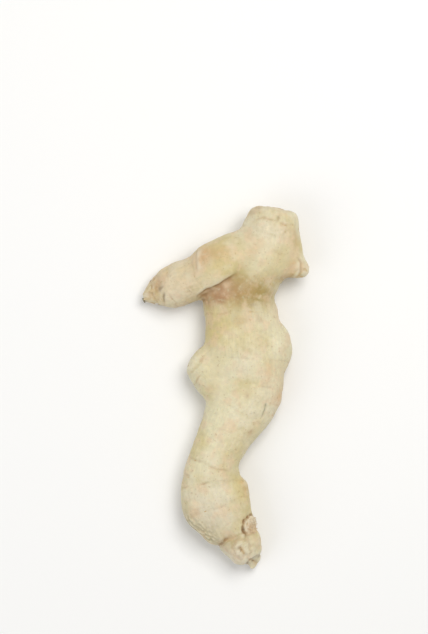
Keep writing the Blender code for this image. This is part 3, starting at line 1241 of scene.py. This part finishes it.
@dataclass(frozen=True)
class GingerSkinFinish:
    """Fresh ginger skin, a thin cork layer, washed and air dried.

    It gives a pale cream tan, soft straw and pinkish clouds, faint lengthwise wrinkles, a
    slight waxy sheen, painted shade in the creases and painted light on the ridges.
    """

    tan: str = "#dfd7b3"
    straw: str = "#d1c188"
    blush: str = "#e0c5a2"
    pale: str = "#e4dbbe"
    ring_brown: str = "#ab8a5c"
    # The next two colours are painted shade in the creases and painted light on the ridges.
    crease_shade_brown: str = "#a17c50"
    ridge_light_pale: str = "#e8dfc4"
    callus: str = "#cbb48a"
    roughness: float = 0.46
    specular: float = 0.45
    subsurface: float = 0.12
    cloud_size: float = 24 * MM
    patch_size: float = 8 * MM
    mottle_size: float = 2.4 * MM
    wrinkle_gap: float = 1.7 * MM
    wrinkle_stretch: float = 0.24
    pore_gap: float = 0.55 * MM
    fleck_size: float = 1.3 * MM
    speck_gap: float = 1.6 * MM
    # How strongly the creases take their painted shade.
    crease_shade_cover: float = 0.80
    relief_strength: float = 0.75
    wrinkle_depth: float = 0.24 * MM
    pore_depth: float = 0.34 * MM
    glow_radius: tuple[float, float, float] = (2.2, 1.5, 0.8)
    glow_scale: float = 1 * MM

    def material(self) -> bpy.types.Material:
        """Builds the finish.

        Returns:
            A material that reads the skin's own attributes and Object coordinates.
        """
        made, shader = new_material("ginger_skin_washed_and_dried")
        tree = made.node_tree
        tree.links.new(self.colour(tree), shader.inputs["Base Color"])
        tree.links.new(self.gloss(tree), shader.inputs["Roughness"])
        tree.links.new(self.relief(tree), shader.inputs["Normal"])
        shader.inputs["Specular IOR Level"].default_value = self.specular
        shader.inputs["Subsurface Weight"].default_value = self.subsurface
        shader.inputs["Subsurface Radius"].default_value = self.glow_radius
        shader.inputs["Subsurface Scale"].default_value = self.glow_scale
        return made

    def colour(self, tree: bpy.types.NodeTree) -> bpy.types.NodeSocket:
        """Builds the skin's colour in layers from broad to fine, each laid over the last.

        A Mix node's sockets 0, 6 and 7 are the share and the two colours, and its output 2
        is the mixed colour. A Map Range node's sockets 1 to 4 are its two ranges.

        Args:
            tree: The material's node tree.

        Returns:
            The colour's socket.
        """
        soft = {"interpolation_type": "SMOOTHSTEP"}
        lay = {"data_type": "RGBA", "blend_type": "MIX"}
        deepen = {"data_type": "RGBA", "blend_type": "MULTIPLY"}
        times = {"operation": "MULTIPLY"}
        place = add_node(tree, COORDINATES, {}, {}, "Object")
        moved = add_node(tree, "ShaderNodeMapping", {}, {0: place, 1: (0.31, 0.17, 0.05)})
        clouds = add_node(tree, NOISE, {}, {0: place, "Scale": 1 / self.cloud_size, "Detail": 3})
        haze = {0: moved, "Scale": 1.7 / self.cloud_size, "Detail": 3}
        bleached = add_node(tree, NOISE, {}, haze)
        patches = add_node(tree, NOISE, {}, {0: moved, "Scale": 1 / self.patch_size, "Detail": 4})
        mottle = add_node(tree, NOISE, {}, {0: place, "Scale": 1 / self.mottle_size, "Detail": 4})

        straw = add_node(tree, RANGE, soft, {0: clouds, 1: 0.40, 2: 0.62, 4: 0.85})
        tint = add_node(tree, ATTRIBUTE, {"attribute_name": "tint"}, {}, "Color")
        torn = add_node(tree, RANGE, soft, {0: mottle, 1: 0.22, 2: 0.52, 3: 0.45})
        cover = add_node(tree, MATH, times, {0: tint.node.outputs["Alpha"], 1: torn})
        blush = add_node(tree, RANGE, soft, {0: patches, 1: 0.48, 2: 0.66, 4: 0.52})
        pale = add_node(tree, RANGE, soft, {0: bleached, 1: 0.50, 2: 0.68, 4: 0.40})
        blotched = add_node(tree, RANGE, {}, {0: mottle, 1: 0.3, 2: 0.7, 3: 0.93, 4: 1.05})
        streaked = add_node(tree, RANGE, {}, {0: self.streaks(tree), 3: 0.95, 4: 1.03})
        shade = add_node(tree, MATH, times, {0: blotched, 1: streaked})
        specks = add_node(tree, NOISE, {}, {0: moved, "Scale": 1 / self.speck_gap, "Detail": 2})
        speckled = add_node(tree, RANGE, soft, {0: specks, 1: 0.62, 2: 0.74, 4: 0.40})
        cork = add_node(tree, ATTRIBUTE, {"attribute_name": "cork"}, {}, "Fac")
        flecks = add_node(tree, NOISE, {}, {0: place, "Scale": 1 / self.fleck_size, "Detail": 3})
        flecked = add_node(tree, RANGE, soft, {0: flecks, 1: 0.42, 2: 0.62, 4: 0.5})
        corky = add_node(tree, MATH, times, {0: cork, 1: flecked})
        ring = add_node(tree, ATTRIBUTE, {"attribute_name": "ring"}, {}, "Fac")
        broken = add_node(tree, RANGE, soft, {0: patches, 1: 0.36, 2: 0.56, 4: 0.55})
        lined = add_node(tree, MATH, times, {0: ring, 1: broken})
        hollow = add_node(tree, ATTRIBUTE, {"attribute_name": "hollow"}, {}, "Fac")
        # Painted light and shade: ridges are laid paler and creases browner, by how deep each
        # vertex lies.
        proud = add_node(tree, RANGE, soft, {0: hollow, 1: 0.44, 2: 0.12, 4: 0.55})
        sunken = add_node(tree, RANGE, soft, {0: hollow, 1: 0.58, 2: 1.0, 4: self.crease_shade_cover})

        layers = (
            (lay, straw, linear(self.straw)),
            (lay, cover, tint),
            (lay, blush, linear(self.blush)),
            (lay, pale, linear(self.pale)),
            (deepen, 1.0, shade),
            (lay, speckled, linear(self.ring_brown)),
            (lay, corky, linear(self.callus)),
            (lay, lined, linear(self.ring_brown)),
            # Painted light on the ridges, then painted shade in the creases.
            (lay, proud, linear(self.ridge_light_pale)),
            (lay, sunken, linear(self.crease_shade_brown)),
        )
        colour = linear(self.tan)
        for blend, share, over in layers:
            colour = add_node(tree, MIX, blend, {0: share, 6: colour, 7: over}, 2)
        return colour

    def streaks(self, tree: bpy.types.NodeTree) -> bpy.types.NodeSocket:
        """Builds the wrinkles along each lobe, from the skin's own grain.

        Args:
            tree: The material's node tree.

        Returns:
            0 to 1 across the wrinkles, and a level 0.5 where two lobes run into one another.
        """
        grain = add_node(tree, ATTRIBUTE, {"attribute_name": "grain"}, {}, "Vector")
        clear = add_node(tree, ATTRIBUTE, {"attribute_name": "clear"}, {}, "Fac")
        drawn = {0: grain, 1: (self.wrinkle_stretch, 1.0, 1.0)}
        lengthwise = add_node(tree, "ShaderNodeVectorMath", {"operation": "MULTIPLY"}, drawn)
        fine = {0: lengthwise, "Scale": 1 / self.wrinkle_gap, "Detail": 3}
        wrinkles = add_node(tree, RANGE, {}, {0: add_node(tree, NOISE, {}, fine), 1: 0.3, 2: 0.7})
        level = {"data_type": "FLOAT"}
        return add_node(tree, MIX, level, {0: clear, 2: 0.5, 3: wrinkles})

    def gloss(self, tree: bpy.types.NodeTree) -> bpy.types.NodeSocket:
        """Builds the roughness: a waxy sheen in patches, dull on callus.

        Args:
            tree: The material's node tree.

        Returns:
            The roughness socket.
        """
        place = add_node(tree, COORDINATES, {}, {}, "Object")
        worn = add_node(tree, NOISE, {}, {0: place, "Scale": 1 / self.mottle_size, "Detail": 4})
        low, high = self.roughness - 0.07, self.roughness + 0.10
        skin = add_node(tree, RANGE, {}, {0: worn, 1: 0.3, 2: 0.7, 3: low, 4: high})
        cork = add_node(tree, ATTRIBUTE, {"attribute_name": "cork"}, {}, "Fac")
        return add_node(tree, MATH, {"operation": "MULTIPLY_ADD"}, {0: cork, 1: 0.25, 2: skin})

    def relief(self, tree: bpy.types.NodeTree) -> bpy.types.NodeSocket:
        """Builds what is too fine for the mesh: wrinkles along the lobes, and pores.

        Args:
            tree: The material's node tree.

        Returns:
            The normal's socket.
        """
        place = add_node(tree, COORDINATES, {}, {}, "Object")
        pores = add_node(tree, NOISE, {}, {0: place, "Scale": 1 / self.pore_gap, "Detail": 2})
        strength = {"Strength": self.relief_strength}
        ridged = {"Height": self.streaks(tree), "Distance": self.wrinkle_depth, **strength}
        wrinkled = add_node(tree, "ShaderNodeBump", {}, ridged)
        pitted = {"Height": pores, "Normal": wrinkled, "Distance": self.pore_depth, **strength}
        return add_node(tree, "ShaderNodeBump", {}, pitted)


@dataclass(frozen=True)
class DriedScaleFinish:
    """Ginger leaf scale, a papery sheath, air dried: matt tan, browner where it is older."""

    name: str = "ginger_scale_air_dried"
    young: str = "#dfd0a9"
    old: str = "#c6aa7e"
    fibre_gap: float = 0.45 * MM
    fibre_relief: float = 0.15 * MM
    roughness: float = 0.72

    def material(self) -> bpy.types.Material:
        """Builds the finish.

        Returns:
            A material that reads each small piece's own age and Object coordinates.
        """
        made, shader = new_material(self.name)
        tree = made.node_tree
        lay = {"data_type": "RGBA", "blend_type": "MIX"}
        place = add_node(tree, COORDINATES, {}, {}, "Object")
        fibres = add_node(tree, NOISE, {}, {0: place, "Scale": 1 / self.fibre_gap, "Detail": 3})
        age = add_node(tree, ATTRIBUTE, {"attribute_name": "age"}, {}, "Fac")
        aged = add_node(tree, MATH, {"operation": "MULTIPLY_ADD"}, {0: fibres, 1: 0.5, 2: age})
        share = add_node(tree, RANGE, {}, {0: aged, 1: 0.3, 2: 1.2})
        colours = {0: share, 6: linear(self.young), 7: linear(self.old)}
        tree.links.new(add_node(tree, MIX, lay, colours, 2), shader.inputs["Base Color"])
        raised = {"Height": fibres, "Strength": 0.5, "Distance": self.fibre_relief}
        bumped = add_node(tree, "ShaderNodeBump", {}, raised)
        tree.links.new(bumped, shader.inputs["Normal"])
        shader.inputs["Roughness"].default_value = self.roughness
        return made


@dataclass(frozen=True)
class TornFleshFinish(DriedScaleFinish):
    """Ginger flesh, stringy fibres, torn and dried: pale straw going pinkish brown."""

    name: str = "ginger_flesh_torn_and_dried"
    young: str = "#eadfc6"
    old: str = "#d0b799"
    fibre_gap: float = 0.30 * MM
    roughness: float = 0.65


@dataclass(frozen=True)
class RootletFinish(DriedScaleFinish):
    """Ginger rootlet, a woody thread, trimmed with a knife and dried: dull tan with a pale cut."""

    name: str = "ginger_rootlet_trimmed_and_dried"
    young: str = "#d2be94"
    old: str = "#9c7b50"
    fibre_gap: float = 0.60 * MM
    roughness: float = 0.75


@dataclass(frozen=True)
class WitheredTipFinish(DriedScaleFinish):
    """Ginger shoot tip, withered to a hard hook, air dried: dark grey brown."""

    name: str = "ginger_tip_withered"
    young: str = "#97907a"
    old: str = "#5e5340"
    fibre_gap: float = 0.40 * MM
    roughness: float = 0.70


class Form(Enum):
    """The shapes that the small pieces on the skin take."""

    SCALE = "a curved papery scale, rooted at one edge"
    THREAD = "a bent, tapering thread"
    STUB = "a short cut stub"


@dataclass
class SmallPieces:
    """Many small dry pieces of one form, set on the skin by a Geometry Nodes tree.

    Outward and forward are each piece's own up and lengthwise directions. Length runs
    forward on a scale and outward on a thread or stub. Curl and cup say how fast a piece
    bends away from flat, per metre. Spread is the share by which sizes vary, and lean is
    the most that a piece leans by chance, in radians.
    """

    name: str
    form: Form
    material: bpy.types.Material
    length: float
    width: float
    thickness: float
    curl: float
    cup: float
    spread: float
    lean: float
    seed: int
    places: np.ndarray
    outward: np.ndarray
    forward: np.ndarray

    def build(self) -> bpy.types.Object:
        """Grows the pieces and turns them into one plain mesh.

        Returns:
            The object that holds them all.
        """
        carrier = self.carrier()
        tree = self.tree()
        grown = carrier.modifiers.new("small_pieces", "NODES")
        grown.node_group = tree
        for socket in tree.interface.items_tree:
            if socket.name != "Geometry":
                grown[socket.identifier] = getattr(self, socket.name.lower())
        graph = bpy.context.evaluated_depsgraph_get()
        mesh = bpy.data.meshes.new_from_object(carrier.evaluated_get(graph))
        mesh.name = self.name
        carrier.modifiers.remove(grown)
        bpy.data.objects.remove(carrier)
        bpy.data.node_groups.remove(tree)
        for polygon in mesh.polygons:
            polygon.use_smooth = self.form is not Form.SCALE
        return add_object(self.name, mesh)

    def carrier(self) -> bpy.types.Object:
        """Makes the points that the pieces stand on, with their two directions.

        Returns:
            An object with vertices and no faces.
        """
        mesh = bpy.data.meshes.new(self.name + "_places")
        mesh.from_pydata(self.places.tolist(), [], [])
        for name, rows in (("outward", self.outward), ("forward", self.forward)):
            stored = mesh.attributes.new(name, "FLOAT_VECTOR", "POINT")
            stored.data.foreach_set("vector", rows.astype(np.float32).ravel())
        return add_object(self.name + "_places", mesh)

    def tree(self) -> bpy.types.NodeTree:
        """Builds the tree: one form, set on every point, turned, sized and coloured by chance.

        Returns:
            The node tree, with a named input for each size and for the seed.
        """
        tree = bpy.data.node_groups.new(self.name, "GeometryNodeTree")
        geometry = "NodeSocketGeometry"
        tree.interface.new_socket("Geometry", in_out="INPUT", socket_type=geometry)
        tree.interface.new_socket("Geometry", in_out="OUTPUT", socket_type=geometry)
        for name in ("Length", "Width", "Thickness", "Curl", "Cup", "Spread", "Lean", "Seed"):
            kind = "NodeSocketInt" if name == "Seed" else "NodeSocketFloat"
            tree.interface.new_socket(name, in_out="INPUT", socket_type=kind)
        points = add_node(tree, "NodeGroupInput", {}, {}, "Geometry")
        given = points.node.outputs
        least = add_node(tree, MATH, {"operation": "SUBTRACT"}, {0: 1.0, 1: given["Spread"]})
        most = add_node(tree, MATH, {"operation": "ADD"}, {0: 1.0, 1: given["Spread"]})
        chance = {"data_type": "FLOAT"}
        sized = {2: least, 3: most, "Seed": given["Seed"]}
        set_out = {
            "Points": points,
            "Instance": self.one(tree, given),
            "Rotation": self.turn(tree, given),
            "Scale": add_node(tree, "FunctionNodeRandomValue", chance, sized, 1),
        }
        pieces = add_node(tree, "GeometryNodeInstanceOnPoints", {}, set_out)
        years = {2: 0.0, 3: 1.0, "Seed": given["Seed"]}
        age = add_node(tree, "FunctionNodeRandomValue", chance, years, 1)
        aged = add_node(
            tree, "GeometryNodeStoreNamedAttribute", {"data_type": "FLOAT", "domain": "INSTANCE"},
            {"Geometry": pieces, "Name": "age", "Value": age},
        )
        real = add_node(tree, "GeometryNodeRealizeInstances", {}, {0: aged})
        dressed = {"Geometry": real, "Material": self.material}
        finished = add_node(tree, "GeometryNodeSetMaterial", {}, dressed)
        end = tree.nodes.new("NodeGroupOutput")
        tree.links.new(finished, end.inputs[0])
        return tree

    def turn(self, tree: bpy.types.NodeTree, given: Any) -> bpy.types.NodeSocket:
        """Turns each piece to its own outward and forward directions, with a chance lean.

        Args:
            tree: The tree that is being built.
            given: The tree's inputs, by name.

        Returns:
            The rotation's socket.
        """
        vector = {"data_type": "FLOAT_VECTOR"}
        outward = add_node(tree, "GeometryNodeInputNamedAttribute", vector, {"Name": "outward"})
        forward = add_node(tree, "GeometryNodeInputNamedAttribute", vector, {"Name": "forward"})
        up = add_node(tree, "FunctionNodeAlignRotationToVector", {"axis": "Z"}, {2: outward})
        ahead = {"axis": "X", "pivot_axis": "Z"}
        facing = add_node(tree, "FunctionNodeAlignRotationToVector", ahead, {0: up, 2: forward})
        negative = add_node(tree, MATH, {"operation": "MULTIPLY"}, {0: given["Lean"], 1: -1.0})
        leaning = {0: negative, 1: given["Lean"], "Seed": given["Seed"]}
        tilt = add_node(tree, "FunctionNodeRandomValue", vector, leaning)
        tilted = add_node(tree, "FunctionNodeEulerToRotation", {}, {0: tilt})
        local = {"rotation_space": "LOCAL"}
        return add_node(tree, "FunctionNodeRotateRotation", local, {0: facing, 1: tilted})

    def one(self, tree: bpy.types.NodeTree, given: Any) -> bpy.types.NodeSocket:
        """Shapes one closed piece at its real size.

        A scale lies on the origin. It narrows and curls up towards its free edge and cups
        round the lobe. A thread or stub stands on the origin and bends as it rises.

        Args:
            tree: The tree that is being built.
            given: The tree's inputs, by name.

        Returns:
            The piece's geometry.
        """
        fan = {"fill_type": "TRIANGLE_FAN"}
        if self.form is Form.SCALE:
            disc = {"Vertices": 12, "Side Segments": 1, "Fill Segments": 2, "Radius": 0.5}
            disc["Depth"] = 1.0
            plain = add_node(tree, "GeometryNodeMeshCylinder", fan, disc)
            size = (given["Length"], given["Width"], given["Thickness"])
        else:
            taper = {"Vertices": 7, "Side Segments": 4, "Radius Bottom": 0.5, "Depth": 1.0}
            taper["Radius Top"] = 0.12 if self.form is Form.THREAD else 0.40
            plain = add_node(tree, "GeometryNodeMeshCone", fan, taper)
            size = (given["Width"], given["Thickness"], given["Length"])
        real = add_node(tree, "ShaderNodeCombineXYZ", {}, dict(enumerate(size)))
        sized = add_node(tree, "GeometryNodeTransform", {}, {"Geometry": plain, "Scale": real})
        at = add_node(tree, "GeometryNodeInputPosition", {}, {})
        x = add_node(tree, "ShaderNodeSeparateXYZ", {}, {0: at})
        y, z = x.node.outputs[1], x.node.outputs[2]
        times = {"operation": "MULTIPLY"}
        if self.form is Form.SCALE:
            halved = {0: given["Length"], 1: 0.5, 2: x}
            reach = add_node(tree, MATH, {"operation": "MULTIPLY_ADD"}, halved)
            risen = add_node(tree, MATH, times, {0: reach, 1: reach})
            lift = add_node(tree, MATH, times, {0: risen, 1: given["Curl"]})
            squared = add_node(tree, MATH, times, {0: y, 1: y})
            drop = add_node(tree, MATH, times, {0: squared, 1: given["Cup"]})
            share = add_node(tree, MATH, {"operation": "DIVIDE"}, {0: reach, 1: given["Length"]})
            inward = add_node(tree, MATH, times, {0: share, 1: -0.5})
            narrow = add_node(tree, MATH, times, {0: y, 1: inward})
            raised = add_node(tree, MATH, {"operation": "SUBTRACT"}, {0: lift, 1: drop})
            shift = {1: narrow, 2: raised}
        else:
            risen = add_node(tree, MATH, times, {0: z, 1: z})
            shift = {0: add_node(tree, MATH, times, {0: risen, 1: given["Curl"]})}
        offset = add_node(tree, "ShaderNodeCombineXYZ", {}, shift)
        return add_node(tree, "GeometryNodeSetPosition", {}, {"Geometry": sized, "Offset": offset})


@dataclass(frozen=True)
class Sheath:
    """The overlapping leaf scales round the tip of one lobe, in rounds of a few each.

    Rounds are in millimetres along the lobe, and size is a scale's length.
    """

    name: str
    lobe: Lobe
    rounds: Sequence[float]
    counts: Sequence[int]
    size: float
    slimness: float = 0.62
    sunk: float = 0.05 * MM


SHEATHS = (
    Sheath("finger_tip_scales", FINGER, (65.5, 69.0, 72.0), (7, 7, 5), 6.2 * MM),
    Sheath("bud_scales", BUD, (15.0,), (5,), 3.8 * MM),
)


@dataclass
class SkinDressing:
    """Everything small and dry that stands on the finished skin."""

    skin: RhizomeSkin
    scraps: int = 42
    least_ring: float = 0.22
    fibres: int = 80
    fibre_lean: tuple[float, float, float] = (0.75, 0.40, 0.05)
    hook_root: tuple[float, float, float] = (-50.3 * MM, 55.8 * MM, 8.2 * MM)
    hook_down: tuple[float, float, float] = (0.05, -0.98, 0.05)
    hook_bend: tuple[float, float, float] = (1.0, -0.35, 0.0)
    seed: int = 37

    def build(self) -> list[bpy.types.Object]:
        """Makes the small pieces.

        Returns:
            One object for each kind of piece.
        """
        points, normals = self.skin.vertices(), self.skin.directions()
        dried = DriedScaleFinish().material()
        kinds = [
            self.ring_scraps(points, normals, dried),
            *(self.tip_scales(sheath, points, normals, dried) for sheath in SHEATHS),
            self.dry_hook(points),
            self.torn_fibres(points, normals),
            self.root_stubs(points, normals),
        ]
        return [kind.build() for kind in kinds]

    def ring_scraps(
        self, points: np.ndarray, normals: np.ndarray, dried: bpy.types.Material
    ) -> SmallPieces:
        """Places scraps of old leaf scale along the ring scars.

        Args:
            points: The skin's vertices.
            normals: Their normals.
            dried: The scale's finish.

        Returns:
            The scraps, each on a ring with its free edge towards the lobe's tip.
        """
        random = np.random.default_rng(self.seed)
        shown = (points[:, 2] > 6 * MM) & (normals[:, 2] > -0.1)
        ringed = np.flatnonzero((self.skin.map.ring > self.least_ring) & shown)
        at = random.permutation(ringed)[: self.scraps]
        return SmallPieces(
            "ring_scale_scraps", Form.SCALE, dried, length=0.6 * MM, width=1.9 * MM,
            thickness=0.05 * MM, curl=70.0, cup=60.0, spread=0.45, lean=0.06, seed=3,
            places=points[at], outward=normals[at], forward=self.skin.axis[at],
        )

    def tip_scales(
        self, sheath: Sheath, points: np.ndarray, normals: np.ndarray, dried: bpy.types.Material
    ) -> SmallPieces:
        """Places overlapping leaf scales round a lobe's tip.

        Args:
            sheath: Which lobe they are on, how many they are and how large.
            points: The skin's vertices.
            normals: Their normals.
            dried: The scale's finish.

        Returns:
            The scales, each with its free edge towards the tip.
        """
        lobe, size = sheath.lobe, sheath.size
        angles = np.arctan2(lobe.grain[:, 2], lobe.grain[:, 1])
        clear = points[:, 2] > 3 * MM
        at = []
        for number, (place, count) in enumerate(zip(sheath.rounds, sheath.counts)):
            missed = np.abs(lobe.along / MM - place)
            for turn in range(count):
                angle = (turn + 0.5 * (number % 2)) * 2 * math.pi / count - math.pi
                aside = np.abs((angles - angle + math.pi) % (2 * math.pi) - math.pi)
                off = missed + 4 * aside + 9 * (lobe.closeness - 1) ** 2
                at.append(int(np.argmin(np.where(clear, off, np.inf))))
        return SmallPieces(
            sheath.name, Form.SCALE, dried, length=size, width=sheath.slimness * size,
            thickness=0.10 * MM, curl=8.0, cup=75.0, spread=0.2, lean=0.10, seed=5,
            places=points[at] - normals[at] * sheath.sunk, outward=normals[at],
            forward=lobe.axis[at],
        )

    def dry_hook(self, points: np.ndarray) -> SmallPieces:
        """Places the withered shoot that hooks down from the finger's tip.

        Args:
            points: The skin's vertices.

        Returns:
            The hook, as a single thread.
        """
        nearest = np.argmin(np.linalg.norm(points - np.array(self.hook_root), axis=1))
        down = np.array([self.hook_down])
        return SmallPieces(
            "finger_tip_hook", Form.THREAD, WitheredTipFinish().material(), length=3.0 * MM,
            width=2.6 * MM, thickness=1.8 * MM, curl=60.0, cup=0.0, spread=0.0, lean=0.0, seed=2,
            places=points[[nearest]] - down * 0.4 * MM, outward=down,
            forward=np.array([self.hook_bend]),
        )

    def torn_fibres(self, points: np.ndarray, normals: np.ndarray) -> SmallPieces:
        """Places fibres on the broken stub's face, leaning out over its right-hand edge.

        Args:
            points: The skin's vertices.
            normals: Their normals.

        Returns:
            The fibres.
        """
        random = np.random.default_rng(self.seed + 1)
        centre = (np.array(TORN_STUB.centre) + np.array((1.0, 0.0, 0.0))) * MM
        reach = np.array(TORN_STUB.half_size) * MM * 0.8
        inside = np.linalg.norm((points - centre) / reach, axis=1) < 1
        at = random.permutation(np.flatnonzero(inside & (normals[:, 2] > -0.2)))[: self.fibres]
        outward = normals[at] * 0.25 + np.array(self.fibre_lean)
        return SmallPieces(
            "torn_stub_fibres", Form.THREAD, TornFleshFinish().material(), length=1.1 * MM,
            width=0.42 * MM, thickness=0.24 * MM, curl=110.0, cup=0.0, spread=0.55, lean=0.45,
            seed=7, places=points[at] - outward * 0.3 * MM, outward=outward, forward=normals[at],
        )

    def root_stubs(self, points: np.ndarray, normals: np.ndarray) -> SmallPieces:
        """Places a trimmed rootlet in each root scar.

        Args:
            points: The skin's vertices.
            normals: Their normals.

        Returns:
            The stubs.
        """
        at = self.skin.root_scars.chosen
        return SmallPieces(
            "trimmed_rootlets", Form.STUB, RootletFinish().material(), length=1.2 * MM,
            width=1.7 * MM, thickness=1.4 * MM, curl=90.0, cup=0.0, spread=0.35, lean=0.35,
            seed=11, places=points[at] - normals[at] * 0.35 * MM, outward=normals[at],
            forward=self.skin.axis[at],
        )


@dataclass(frozen=True)
class FloorFinish:
    """Matt white laminate, pressed smooth: an even, pale ground with soft shadows."""

    white: str = "#f7f7f6"
    roughness: float = 0.7

    def material(self) -> bpy.types.Material:
        """Builds the finish.

        Returns:
            A plain material.
        """
        made, shader = new_material("matt_white_laminate")
        shader.inputs["Base Color"].default_value = linear(self.white)
        shader.inputs["Roughness"].default_value = self.roughness
        return made


@dataclass(frozen=True)
class SoftLight:
    """A square, soft light panel that hangs over the rhizome, its power in watts."""

    name: str
    place: tuple[float, float, float]
    side: float
    power: float
    colour: str

    def hang(self, aim: Vector) -> None:
        """Hangs the panel and turns its face to a point.

        Args:
            aim: Where it shines.
        """
        panel = bpy.data.lights.new(self.name, "AREA")
        panel.size = self.side
        panel.energy = self.power
        panel.color = linear(self.colour)[:3]
        light = add_object(self.name, panel)
        light.location = self.place
        light.rotation_euler = (aim - light.location).to_track_quat("-Z", "Y").to_euler()


@dataclass
class Studio:
    """The pale floor, the soft lights and the camera overhead."""

    floor_side: float = 4.0
    aim_x: float = -7.4 * MM
    aim_y: float = 44.0 * MM
    aim_z: float = 14 * MM
    distance: float = 2.00
    view_height: float = 393 * MM
    sensor_width: float = 36.0
    lights: Sequence[SoftLight] = (
        SoftLight("key_light", (0.36, 0.50, 1.25), 0.80, 11.6, "#fffdfa"),
        SoftLight("fill_light", (-0.9, -0.45, 0.9), 1.00, 3.9, "#fbfcff"),
    )
    lights_aim: tuple[float, float, float] = (0.0, 0.0, 0.02)
    ambient: float = 0.455

    def build(self) -> None:
        """Sets up everything round the rhizome."""
        self.lay_floor()
        for light in self.lights:
            light.hang(Vector(self.lights_aim))
        self.set_ambient()
        self.set_camera()

    def lay_floor(self) -> None:
        """Makes the floor, a plane at the height that the rhizome rests on."""
        mesh = bpy.data.meshes.new("studio_floor")
        half = self.floor_side / 2
        corners = [(-half, -half, 0), (half, -half, 0), (half, half, 0), (-half, half, 0)]
        mesh.from_pydata(corners, [], [(0, 1, 2, 3)])
        mesh.materials.append(FloorFinish().material())
        floor = add_object("studio_floor", mesh)

    def set_ambient(self) -> None:
        """Fills the room with even, pale light."""
        world = bpy.data.worlds.new("studio_room")
        world.use_nodes = True
        sky = world.node_tree.nodes["Background"]
        sky.inputs["Color"].default_value = linear("#fdfdfc")
        sky.inputs["Strength"].default_value = self.ambient
        bpy.context.scene.world = world
        bpy.context.scene.view_settings.view_transform = "Standard"

    def set_camera(self) -> None:
        """Points a lens straight down, as long as the view's height asks for."""
        lens = bpy.data.cameras.new("overhead_camera")
        lens.sensor_width = self.sensor_width
        lens.lens = self.sensor_width * self.distance / self.view_height
        camera = add_object("overhead_camera", lens)
        camera.location = (self.aim_x, self.aim_y, self.aim_z + self.distance)
        bpy.context.scene.camera = camera


def main() -> None:
    """Grows the skin, sets the small pieces on it and lights it."""
    logging.basicConfig(level=logging.INFO, format="%(message)s")
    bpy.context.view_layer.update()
    Studio().build()
    grown = RhizomeSkin()
    skin = grown.build()
    skin.data.materials.clear()
    skin.data.materials.append(GingerSkinFinish().material())
    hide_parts(CAD_NODE)
    for piece in [skin, *SkinDressing(grown).build()]:
        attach(piece, BODY)
        log.info("%s: %d faces", piece.name, len(piece.data.polygons))


if __name__ == "__main__":
    main()
